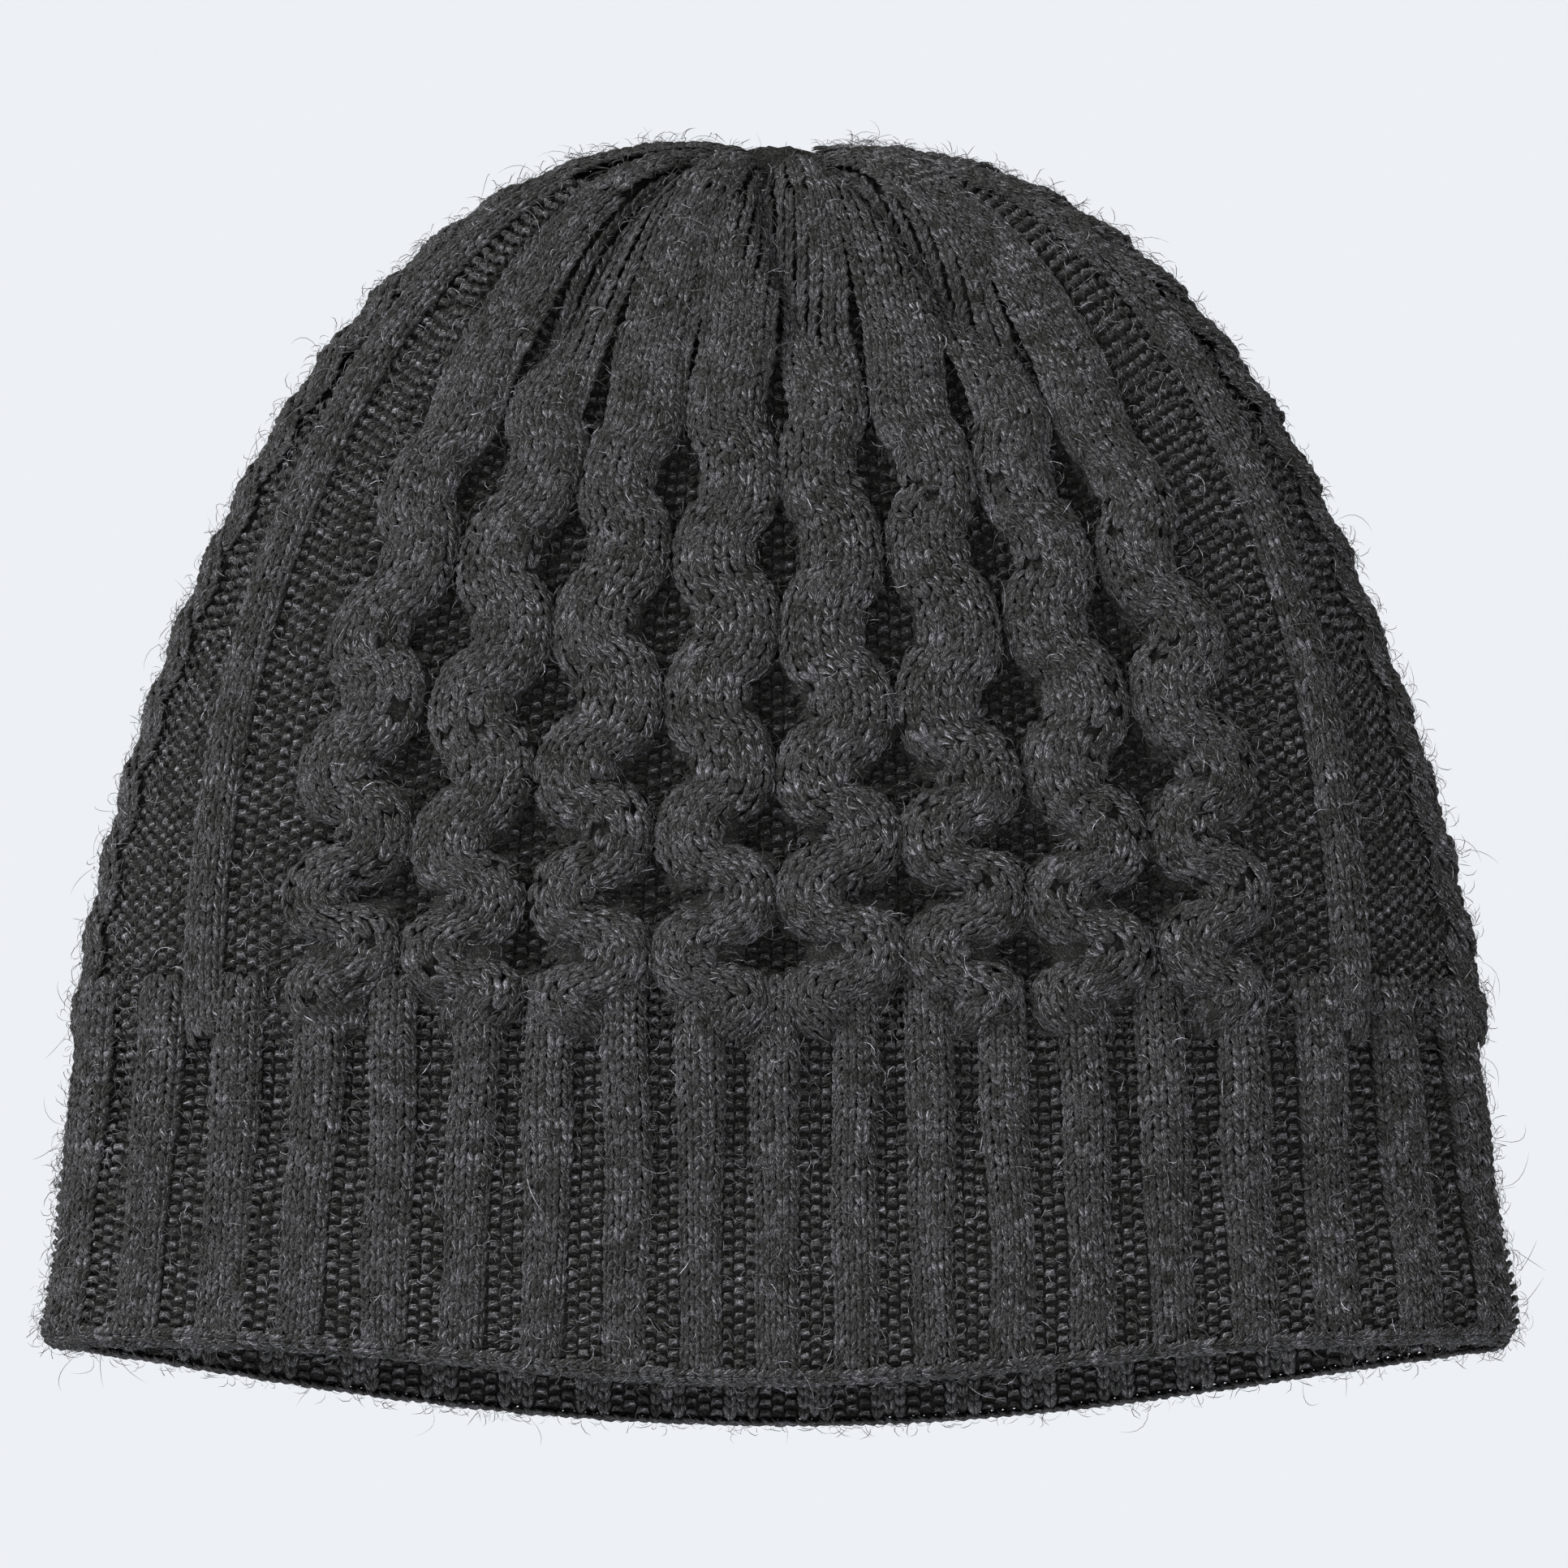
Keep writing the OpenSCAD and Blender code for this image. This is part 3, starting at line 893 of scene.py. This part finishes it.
def cuffColumns(side, inside):
    # purl columns in the valleys outside; inside, the same columns are knit and purl backs the ribs
    v = np.linspace(cuff["start"], 1.0 if inside else cuff["end"], 60)
    length = quarterLength(v)
    knit, purl = [], []
    for n in range(cuff["ribs"] + 1):
        middle = cuffPlace(n - 0.5)
        pitch = (cuffPlace(n) - cuffPlace(n - 1)) * length
        column = (1 - 2.1 * cuff["halfWidth"]) * pitch / cuff["purls"]
        for k in range(cuff["purls"]):
            off = k - (cuff["purls"] - 1) / 2
            if abs(middle) > 0.999 and off * middle > 0:
                continue                      # beyond the fold: a column of the other side
            w = middle + off * column / length + middleOf[side]
            normal = hatNormal(w, v)
            level = (-cuff["thickness"] - cuff["insideKnit"] if inside
                     else cuff["valley"] + cuff["valleyDrawn"] * drawn(v)[:, None])
            line = alongLine(hatPoint(w, v) + normal * level, -normal if inside else normal, column,
                             gauge["cuffRow"], start=0.5 * (k % 2) - 0.5 * inside)
            (knit if inside else purl).append(line)
    for n in range(cuff["ribs"] if inside else 0):
        pitch = (cuffPlace(n + 0.5) - cuffPlace(n - 0.5)) * length
        for k in (-1, 0, 1):
            wide = 2 * cuff["halfWidth"] * pitch / 3
            w = cuffPlace(n) + k * wide / length + middleOf[side]
            normal = hatNormal(w, v)
            level = cuff["thickness"] + cuff["insidePurl"]
            purl.append(alongLine(hatPoint(w, v) - normal * level, -normal, wide, gauge["cuffRow"],
                                  start=0.5 * (k == 0) - 0.5))
    return (join(knit) if knit else None), join(purl)


castOn = {
    "halfWidth": 2.1 * mm,
    "height": 1.1 * mm,
    "wales": 4,
    "level": -1.7 * mm,
    "tuck": 1.3 * mm,      # the edge is drawn in this much at the side folds
    "tuckFrom": 0.86,
    "row": 1.9 * mm,
    "depth": 1.5 * mm,
}


def castOnEdge(side):
    # a chain of stitches that rolls round the lowest edge of the cloth
    w = np.linspace(-1, 1, 700) + middleOf[side]
    v = np.full_like(w, cuff["start"])
    normal = hatNormal(w, v)
    level = castOn["level"] - castOn["tuck"] * smoothStep(castOn["tuckFrom"], 1.0, np.abs(onFront(w)[0]))
    down = unit(hatPoint(w, v) - hatPoint(w, v + 0.02))
    chain = cordAlong(hatPoint(w, v) + normal * level[:, None], unit(down + 0.25 * normal),
                      castOn["halfWidth"], castOn["height"], castOn["wales"])
    return cordStations(chain, castOn["row"], castOn["depth"])


# base cloth: closed shells under the stitches, in the darker wool with painted shade

def gridFaces(rows, columns, ring, flip=False):
    made = []
    for i in range(rows - 1):
        for j in range(columns if ring else columns - 1):
            k = (j + 1) % columns
            face = (i * columns + j, i * columns + k, (i + 1) * columns + k, (i + 1) * columns + j)
            made.append(face[::-1] if flip else face)
    return made


def shell(name, outer, inner, finish, poles=None):
    # outer and inner are grids of points, rows from the bottom up; poles close the top of a ring,
    # and without them the grids are strips with two ends
    rows, columns = outer.shape[:2]
    ring = poles is not None
    count = rows * columns
    points = [*outer.reshape(-1, 3), *inner.reshape(-1, 3), *(poles or ())]
    faces = gridFaces(rows, columns, ring)
    faces += [tuple(count + i for i in f) for f in gridFaces(rows, columns, ring, flip=True)]
    last = (rows - 1) * columns
    for j in range(columns if ring else columns - 1):
        k = (j + 1) % columns
        faces.append((j, count + j, count + k, k))
        if ring:
            faces.append((last + j, last + k, 2 * count))
            faces.append((count + last + k, count + last + j, 2 * count + 1))
        else:
            faces.append((last + k, count + last + k, count + last + j, last + j))
    if not ring:
        for i in range(rows - 1):
            a, b = i * columns, (i + 1) * columns
            faces.append((a, b, count + b, count + a))
            a, b = a + columns - 1, b + columns - 1
            faces.append((b, a, count + a, count + b))
    mesh = meshFrom(name, points, faces)
    mesh.polygons.foreach_set("use_smooth", np.ones(len(mesh.polygons), bool))
    mesh.materials.append(finish)
    return newObject(name, mesh)


cloth = {
    "under": 0.8 * mm,     # the base lies this far under the middle of the stitches
    "crownThickness": 3.6 * mm,
    "columns": 264,
    "rows": 88,
    "cuffColumns": 220,
    "cuffRows": 28,
    "levelling": (142 * mm, 158 * mm),  # over these heights the cloth stops rising into the cords
    "closing": (1.95, 1.985),           # over these rows it meets the hat's surface
    "innerFolds": 0.9,                  # the creases show a little less inside
    "ribFoot": 0.35,                    # below this share of a rib's height it is as low as a valley
    "innerRise": 0.6 * mm,              # of the cuff's inner face behind the ribs
    "innerDrop": 0.9 * mm,              # and how much deeper it lies behind the valleys
    "leastThickness": 1.2 * mm,
}


def crownCloth():
    w, v = np.meshgrid(np.linspace(-1, 3, cloth["columns"], endpoint=False),
                       np.linspace(1.0, cloth["closing"][1], cloth["rows"]))
    point, normal = hatPoint(w, v), hatNormal(w, v)
    relief, _ = cordRelief(cover, point.reshape(-1, 3), normal.reshape(-1, 3))
    inPanel = np.abs(onFront(w)[0]) < borderOfPanel(v)
    level = np.where(inPanel, ground["holeLevel"], ground["level"])
    relief = np.maximum(relief.reshape(w.shape), level)
    relief += (level - relief) * smoothStep(*cloth["levelling"], point[..., 2])
    fade = 1 - smoothStep(*cloth["closing"], v)
    outer = point + normal * ((relief - cloth["under"]) * fade)[..., None]
    thick = cloth["crownThickness"]
    scale = np.array([1 - thick / hat["bodyHalfWidth"], 1 - thick / hat["bodyHalfDepth"],
                      1 - thick / hat["domeHeight"]])
    base = np.array([0, 0, hat["cuffHeight"]])
    creases = normal * (foldRelief(w, v) * cloth["innerFolds"])[..., None]
    inner = (plainPoint(w, v) - base) * scale + base + creases
    poles = [(0, 0, hat["crownTop"]), (0, 0, hat["crownTop"] - thick)]
    return shell("crown_base_cloth", outer, inner, groundWoolPaintedShade, poles)


def cuffLevels(w, v):
    # the ribbed outside and inside of the cuff, as heights over the hat's surface
    ribs = np.arange(cuff["ribs"])
    pitch = cuffPlace(ribs + 0.5) - cuffPlace(ribs - 0.5)
    part = np.abs(onFront(w)[0][..., None] - cuffPlace(ribs)) / (pitch * cuff["halfWidth"])
    part = part.min(axis=-1)
    rib = np.sqrt(np.maximum(1 - part ** 2, 0)) * (1 - smoothStep(0.9, 1.0, v))
    ribLevel = -cuff["sunk"] + (cuff["height"] + cuff["drawn"] * drawn(v)) * rib
    valley = cuff["valley"] + cuff["valleyDrawn"] * drawn(v)
    outside = np.where(rib > cloth["ribFoot"], ribLevel, valley)
    inside = -cuff["thickness"] + cloth["innerRise"] - cloth["innerDrop"] * smoothStep(0.9, 1.2, part)
    return outside, np.minimum(inside, outside - cloth["leastThickness"])


def cuffCloth(side):
    w, v = np.meshgrid(np.linspace(-1, 1, cloth["cuffColumns"]) + middleOf[side],
                       np.linspace(cuff["start"], 1.0, cloth["cuffRows"]))
    point, normal = hatPoint(w, v), hatNormal(w, v)
    outside, inside = cuffLevels(w, v)
    outer = point + normal * (outside - cloth["under"])[..., None]
    inner = point + normal * inside[..., None]
    return shell(f"cuff_base_cloth_{side}", outer, inner, groundWoolPaintedShade)


# making the pieces

made = {}
# the two halves of the cuff, each listed with two points; their pieces keep their place in the world and are
# not attached to a body
hinges = {
    "cuff_front_flap": ((0, -0.021, 0.0239), (0, -0.0458, 0.0021)),
    "cuff_back_flap": ((0, 0.021, 0.0239), (0, 0.047, 0.0011)),
}


def keep(obj, body, *nodes, slot="wool_yarn"):
    made[obj.name] = obj
    if nodes:
        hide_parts(*nodes)
    if body in hinges:
        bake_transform(obj)
    else:
        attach(obj, body)
    return obj


def standsFor(name):
    # the frame's node or nodes that a piece of the crown's yarn stands for
    if name.startswith("honeycomb"):
        return ["honeycomb_panel_" + ("back" if "_back" in name else "front")]
    if name.startswith("crown_wales"):
        return ["crown_decreases_" + name.split("_")[-1]]
    if name.startswith(("side_ground", "rope_cable")):
        return ["side_cable_" + ("right" if "right" in name else "left")]
    if name == "crown_centre_yarn":
        return ["crown_centre"]
    return [name]


for name, rows in pieces.items():
    isGround = "ground" in name or "gutter" in name
    pieceName = name + ("_purl" if "gutter" in name else "_yarn" if name.startswith("knit_rib") else "")
    # the honeycomb's holes take the darker wool with painted shade, the gutters the lighter wool with painted
    # light
    finish = groundWoolPaintedShade if name.startswith("honeycomb_ground") else gutterWoolPaintedLight if isGround else lambswool
    tree, segments = (purlTree, 3) if isGround else (knitTree, 4)
    keep(stitches(pieceName, join(rows), tree, finish, Pieces=segments), "crown", *standsFor(name))
print("crown yarn made")

keep(crownCloth(), "crown")

for side in middleOf:
    ribs = join([cordStations(c, gauge["cuffRow"], crown["stitchDepth"]) for c in cuffCords[side]])
    _, valleys = cuffColumns(side, inside=False)
    knit, purl = cuffColumns(side, inside=True)
    for name, stations, tree, finish, segments, nodes in (
            ("cuff_ribs_", ribs, knitTree, lambswool, 4, ["cuff_" + side]),
            ("cuff_valleys_", deepened(valleys, ground["depth"]), purlTree, valleyWoolPaintedLight, 3, []),
            ("cuff_inside_knit_", deepened(knit, cuff["insideKnitDepth"]), knitTree, innerWoolPaintedLight, 3, []),
            ("cuff_inside_purl_", deepened(purl, cuff["insidePurlDepth"]), purlTree, innerWoolPaintedLight, 3, []),
            ("cast_on_chain_", castOnEdge(side), knitTree, lambswool, 4, ["cast_on_edge_" + side])):
        keep(stitches(name + side, stations, tree, finish, Pieces=segments), f"cuff_{side}_flap", *nodes)
    keep(cuffCloth(side), f"cuff_{side}_flap")
print("cuffs made")


# seam, gathering yarn and label, inside

seam = {
    "halfWidth": 2.1 * mm,
    "height": 1.2 * mm,
    "wales": 3,
    "depth": 3.7 * mm,     # its middle, under the hat's surface
    "bottom": 0.07,
    "top": 1.62,
    "stitchDepth": 1.5 * mm,
}


def backSeam(part, low, high, depth):
    v = np.linspace(low, high, 200)
    w = np.full_like(v, middleOf["back"])
    inward = -hatNormal(w, v)
    ridge = cordAlong(hatPoint(w, v) + inward * depth, inward, seam["halfWidth"], seam["height"],
                      seam["wales"])
    return stitches(f"back_seam_{part}_ridge", cordStations(ridge, gauge["row"], seam["stitchDepth"]),
                    knitTree, innerWoolPaintedLight, Pieces=3)


keep(backSeam("cuff", seam["bottom"], 1.0, cuff["thickness"] + cuff["insideKnit"]), "cuff_back_flap",
     "back_seam_cuff")
keep(backSeam("crown", 1.0, seam["top"], seam["depth"]), "crown", "back_seam_crown")


def tube(name, path, radius, finish, closed=False):
    # a round strand along a path of points
    curve = bpy.data.curves.new(name, "CURVE")
    curve.dimensions = "3D"
    curve.bevel_depth = radius
    curve.bevel_resolution = 2
    curve.use_fill_caps = not closed
    spline = curve.splines.new("POLY")
    spline.points.add(len(path) - 1)
    spline.points.foreach_set("co", np.column_stack([path, np.ones(len(path))]).ravel())
    spline.use_cyclic_u = closed
    obj = newObject(name, curve)
    mesh = bpy.data.meshes.new_from_object(obj.evaluated_get(bpy.context.evaluated_depsgraph_get()))
    bpy.data.objects.remove(obj)
    mesh.polygons.foreach_set("use_smooth", np.ones(len(mesh.polygons), bool))
    mesh.materials.clear()
    mesh.materials.append(finish)
    return newObject(name, mesh)


def joined(name, objects):
    with bpy.context.temp_override(active_object=objects[0], selected_editable_objects=objects):
        bpy.ops.object.join()
    objects[0].name = name
    objects[0].data.name = name
    return objects[0]


gathering = {
    "plies": 2,
    "turn": 4.5 * mm,      # length of one turn of the plies
    "ply": 0.62 * mm,      # radius of a ply, and of the circle its middle winds on
    "offset": 0.5 * mm,
    "knot": 1.5 * mm,      # radius of the knot's loops
    "part": 2.2 * mm,      # how far the ends part
    "tail": 13 * mm,
}


def pliedYarn(name, path, closed):
    # plies wound round a path
    ahead = np.roll(path, -1, 0) - np.roll(path, 1, 0) if closed else np.gradient(path, axis=0)
    arc = arcLength(path)
    turns = round(arc[-1] / gathering["turn"]) / arc[-1] * 2 * math.pi
    side = unit(np.cross(ahead, (0.13, 0.31, 0.94)))
    up = unit(np.cross(side, ahead))
    plies = []
    for n in range(gathering["plies"]):
        angle = (arc * turns + 2 * math.pi * n / gathering["plies"])[:, None]
        ply = path + gathering["offset"] * (side * np.cos(angle) + up * np.sin(angle))
        plies.append(tube(f"{name}_{n}", ply, gathering["ply"], innerWoolPaintedLight, closed))
    return plies


def gatheringYarn():
    # drawn through the last stitches, tied in a knot, with two short ends left hanging
    low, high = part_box("crown_gathering_yarn")
    centre = np.array((low + high) / 2)
    radius, middle = (high.x - low.x) / 2 - 1.2 * mm, centre + (0, 0, 0.3 * mm)
    turn = np.linspace(0, 2 * math.pi, 90, endpoint=False)
    ring = middle + np.stack([radius * np.cos(turn), radius * np.sin(turn), 0.3 * mm * np.sin(3 * turn)], -1)
    parts = pliedYarn("gathering_ring", ring, True)
    t = np.linspace(0, 1, 70)
    for hand in (-1, 1):
        spin, knot = t * 2.3 * math.pi, gathering["knot"] * (1 - 0.35 * t)
        path = np.stack([hand * (knot * np.cos(spin) - knot[0] + gathering["part"] * t),
                         hand * knot * np.sin(spin), -gathering["tail"] * t ** 2.2], -1)
        parts += pliedYarn("gathering_end", middle + (radius * 0.3 * hand, 0, -0.8 * mm) + path, False)
    return joined("gathering_yarn_tied", parts)


keep(gatheringYarn(), "crown", "crown_gathering_yarn")

careTape = {"thickness": 0.35 * mm, "curl": 1.1 * mm, "columns": 25, "rows": 41, "hem": 1.2 * mm}


def careLabel():
    # a strip of satin tape, left blank, that curls a little as it hangs
    low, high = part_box("care_label")
    x, z = np.meshgrid(np.linspace(low.x, high.x, careTape["columns"]),
                       np.linspace(low.z, high.z, careTape["rows"]))
    down = (high.z - z) / (high.z - low.z)
    across = 2 * (x - low.x) / (high.x - low.x) - 1
    y = (low.y + high.y) / 2 - careTape["curl"] * (np.sin(2.4 * down) * 0.7 + 0.5 * across ** 2 * down)
    half = careTape["thickness"] / 2 * (1 + 0.6 * (1 - down < careTape["hem"] / (high.z - low.z)))
    front, back = np.stack([x, y - half, z], -1), np.stack([x, y + half, z], -1)
    return shell("care_label_satin", front, back, satin)


satin, tree, shader = newMaterial("woven_satin_tape")
# polyester satin: fine floats along the tape give a soft lengthwise gloss
place = add(tree, "ShaderNodeTexCoord", give="Object")
weave = add(tree, "ShaderNodeMapping", {"Vector": place, "Scale": (1 / (0.25 * mm), 1, 1 / (1.2 * mm))})
floats = add(tree, "ShaderNodeTexNoise", {"Vector": weave, "Scale": 1.0, "Detail": 2.0})
shades = shadeStops(add(tree, "ShaderNodeValToRGB", {"Fac": floats}), ((0.3, "#cfcbc0"), (0.7, "#ebe8e0")))
bump = add(tree, "ShaderNodeBump", {"Height": floats, "Strength": 0.3, "Distance": 0.05 * mm})
feed(shader, {"Base Color": shades, "Normal": bump, "Roughness": 0.38, "Anisotropic": 0.4})

thread, tree, shader = newMaterial("spun_polyester_thread")
# tightly spun thread: two plies show as slanted bands
place = add(tree, "ShaderNodeTexCoord", give="Object")
bands = add(tree, "ShaderNodeTexWave", {"Vector": place, "Scale": 1 / (1.1 * mm), "Distortion": 1.0},
            give="Fac", bands_direction="DIAGONAL")
shades = shadeStops(add(tree, "ShaderNodeValToRGB", {"Fac": bands}), ((0.2, "#4a4a4d"), (0.8, "#77777b")))
feed(shader, {"Base Color": shades, "Roughness": 0.6})

sewing = {
    "stitches": 5,
    "pitch": 1.1 * mm,
    "radius": 0.28 * mm,
    "inset": 0.1 * mm,     # the loops start this far inside their box, in front of the label
    "past": 0.9 * mm,      # and end this far past it, in the seam behind the label
}


def labelStitches():
    # short loops of thread that carry the label's top edge from the seam behind it
    low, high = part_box("care_label_stitches")
    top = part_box("care_label")[1].z
    start, end = low.y + sewing["inset"], high.y + sewing["past"]
    parts = []
    for n in range(sewing["stitches"]):
        x = (n - (sewing["stitches"] - 1) / 2) * sewing["pitch"]
        t = np.linspace(0, 1, 24)
        y = start + (end - start) * t ** 1.4
        z = top + 0.2 * mm + (high.z - top - 0.4 * mm) * np.sin(np.pi * (0.1 + 0.75 * t)) ** 0.8
        path = np.stack([np.full_like(t, x), y, z], -1)
        parts.append(tube(f"label_stitch_{n}", path, sewing["radius"], thread))
    return joined("label_stitches_thread", parts)


stitchLoops = keep(labelStitches(), "crown", "care_label_stitches", slot="sewing_thread")
tape = keep(careLabel(), "label", "care_label", slot="satin_label")
print("seam, gathering yarn and label made")


# loose hairs that stand off the yarn

halo = {
    "short": {"Length": 2.6 * mm, "Thickness": 0.048 * mm, "Pieces": 3},
    "long": {"Length": 6.0 * mm, "Thickness": 0.035 * mm, "Pieces": 6},
    "shortPerStitch": 2.0,
    "longPerStitch": 0.09,
    # most hairs lie over the stitches, some stand up and curl; in lengths across, along and out
    "shapes": (((0, 0, -0.02), (0.5, 0.14, 0.26), (1.0, 0.0, 0.0)),
               ((0, 0, -0.02), (0.6, -0.30, 0.34), (0.8, 0.35, 0.16)),
               ((0, 0, -0.02), (0.25, 0.30, 0.50), (0.8, -0.15, 0.42))),
}


def haloTree():
    tree, identifiers, inputs = newTree("loose_hairs", (
        ("Roots", "Geometry", None), ("Length", "Float", 0.002), ("Thickness", "Float", 0.00004),
        ("Pieces", "Int", 3), ("Seed", "Int", gauge["seed"]), ("Finish", "Material", None)), "Hairs")
    factor = add(tree, "GeometryNodeSplineParameter", give="Factor")
    bow = add(tree, "ShaderNodeMath", {0: factor, 1: math.pi}, operation="MULTIPLY")
    bow = add(tree, "ShaderNodeMath", {0: bow}, operation="SINE")
    slim = add(tree, "ShaderNodeMath", {0: inputs["Thickness"], 1: inputs["Length"]}, operation="DIVIDE")
    slim = add(tree, "ShaderNodeMath", {0: bow, 1: slim}, operation="MULTIPLY")
    section = add(tree, "GeometryNodeCurvePrimitiveCircle", {"Resolution": 3, "Radius": 1.0})
    kinds = []
    for start, middle, end in halo["shapes"]:
        hair = add(tree, "GeometryNodeCurveQuadraticBezier", {"Resolution": inputs["Pieces"], "Start": start,
                                                              "Middle": middle, "End": end})
        hair = add(tree, "GeometryNodeCurveToMesh", {"Curve": hair, "Profile Curve": section, "Scale": slim})
        hair = add(tree, "GeometryNodeMergeByDistance", {"Geometry": hair, "Distance": 0.0005})
        kinds.append(add(tree, "GeometryNodeGeometryToInstance", {0: hair}))
    kinds = add(tree, "GeometryNodeJoinGeometry", {0: kinds})
    tipped, rolled, turned, grownBy, tone = chances(tree, inputs["Seed"], 10.0, 0.0, 5)
    tip = add(tree, "ShaderNodeMath", {0: tipped, 1: 1.2, 2: -0.5}, operation="MULTIPLY_ADD")
    roll = add(tree, "ShaderNodeMath", {0: rolled, 1: 1.0, 2: -0.5}, operation="MULTIPLY_ADD")
    turn = add(tree, "ShaderNodeMath", {0: turned, 1: 6.28}, operation="MULTIPLY")
    spin = add(tree, "ShaderNodeCombineXYZ", {"X": roll, "Y": tip, "Z": turn})
    spin = add(tree, "FunctionNodeEulerToRotation", {"Euler": spin})
    out = add(tree, "GeometryNodeInputNamedAttribute", {"Name": "out"}, data_type="FLOAT_VECTOR")
    stand = add(tree, "FunctionNodeAlignRotationToVector", {"Vector": out}, axis="Z")
    stand = add(tree, "FunctionNodeRotateRotation", {"Rotation": stand, "Rotate By": spin},
                rotation_space="LOCAL")
    size = add(tree, "ShaderNodeMath", {0: grownBy, 1: 1.1, 2: 0.5}, operation="MULTIPLY_ADD")
    size = add(tree, "ShaderNodeMath", {0: size, 1: inputs["Length"]}, operation="MULTIPLY")
    pick = add(tree, "FunctionNodeRandomValue", {4: 0, 5: len(halo["shapes"]) - 1, "Seed": inputs["Seed"]},
               give=2, data_type="INT")
    placed = add(tree, "GeometryNodeInstanceOnPoints", {"Points": inputs["Roots"], "Instance": kinds,
                                                        "Pick Instance": True, "Instance Index": pick,
                                                        "Rotation": stand, "Scale": size})
    finishTree(tree, inputs, placed, tone, False)
    return tree, identifiers


hairTree = haloTree()


def loose(name, names, body, seed, part=None):
    # hairs that start between and on the stitches of the named pieces
    stations = join([stood[n] for n in names])
    if part is not None:
        stations = only(stations, part(stations["point"]))
    across = np.cross(stations["along"], stations["out"])
    dice = np.random.default_rng(seed)
    for kind in ("short", "long"):
        count = int(len(stations["point"]) * halo[kind + "PerStitch"])
        at = dice.integers(0, len(stations["point"]), count)
        u, s = dice.uniform(-0.5, 0.5, (2, count))
        width, depth = stations["width"][at], stations["depth"][at]
        roots = (stations["point"][at] + across[at] * (u * width)[:, None]
                 + stations["along"][at] * (s * stations["row"][at])[:, None]
                 + stations["out"][at] * (0.62 * depth * (1 - 1.6 * u ** 2))[:, None])
        mesh = meshFrom(name + "_roots", roots, out=stations["out"][at])
        keep(grown(f"{name}_{kind}", mesh, hairTree, {"Finish": haloWoolPaintedLight, "Seed": seed, **halo[kind]}), body)


crownNames = [n for n in stood if not n.startswith(("cuff", "cast_on", "back_seam", "honeycomb_ground"))]
loose("crown_halo_front", crownNames, "crown", 1, lambda p: p[:, 1] <= 0)
loose("crown_halo_back", crownNames, "crown", 2, lambda p: p[:, 1] > 0)
for n, side in enumerate(middleOf):
    cuffNames = [f"cuff_ribs_{side}", f"cuff_valleys_{side}", f"cast_on_chain_{side}"]
    loose(f"cuff_halo_{side}", cuffNames, f"cuff_{side}_flap", 20 + n)
print("loose hairs made")


# camera and light

studio = {
    "view": -7.0,          # degrees: the lens is a little under the brim's level
    "distance": 1.65,
    "frameWidth": 0.2592,
    "aim": (0.001, 0.0, 0.0912),
    "backdrop": "#edf0f5",
    "floorDrop": 0.35,
    "glow": 0.52,          # of the white room round the hat
    # place, size and power; the key stands high on the left, the fill low on the right
    "lights": {
        "key_softbox": ((-1.35, -1.1, 1.15), 0.7, 30.0),
        "fill_softbox": ((1.6, -1.2, 0.5), 1.2, 2.5),
        "under_softbox": ((0, -0.7, -0.32), 0.5, 1.6),
    },
}


def aimed(obj, place, target):
    obj.location = place
    obj.rotation_mode = "QUATERNION"
    obj.rotation_quaternion = (Vector(target) - Vector(place)).to_track_quat("-Z", "Y")
    scene.collection.objects.link(obj)
    return obj


camera = bpy.data.cameras.new("camera")
camera.sensor_width = 36
camera.lens = 36 * studio["distance"] / studio["frameWidth"]
camera.clip_start, camera.clip_end = 0.05, 50
tilt = math.radians(studio["view"])
aim = Vector(studio["aim"])
scene.camera = aimed(bpy.data.objects.new("camera", camera),
                     aim + Vector((0, -math.cos(tilt), math.sin(tilt))) * studio["distance"], aim)


for name, (place, size, power) in studio["lights"].items():
    light = bpy.data.lights.new(name, "AREA")
    light.shape, light.size, light.energy = "SQUARE", size, power
    aimed(bpy.data.objects.new(name, light), place, aim)

world = bpy.data.worlds.new("studio")
scene.world = world
world.use_nodes = True
tree = world.node_tree
direct = add(tree, "ShaderNodeLightPath", give="Is Camera Ray")
seen = add(tree, "ShaderNodeBackground", {"Color": colour(studio["backdrop"]), "Strength": 1.0})
glow = add(tree, "ShaderNodeBackground", {"Color": colour("#f3f3f4"), "Strength": studio["glow"]})
feed(tree.nodes["World Output"], {"Surface": add(tree, "ShaderNodeMixShader", {0: direct, 1: glow, 2: seen})})
scene.view_settings.view_transform = "Standard"

corners = [(x, y, -studio["floorDrop"]) for x, y in ((-4, -4), (4, -4), (4, 4), (-4, 4))]
floorMesh = meshFrom("floor", corners, [(0, 1, 2, 3)])
paper, _, shader = newMaterial("matt_paper_floor")
feed(shader, {"Base Color": colour("#e9ecf1"), "Roughness": 0.9})
floorMesh.materials.append(paper)
newObject("floor", floorMesh)

for obj in made.values():
    obj.data.calc_loop_triangles()
triangles = {name: len(obj.data.loop_triangles) for name, obj in made.items()}
print("triangles", sum(triangles.values()), "largest", max(triangles.items(), key=lambda p: p[1]))
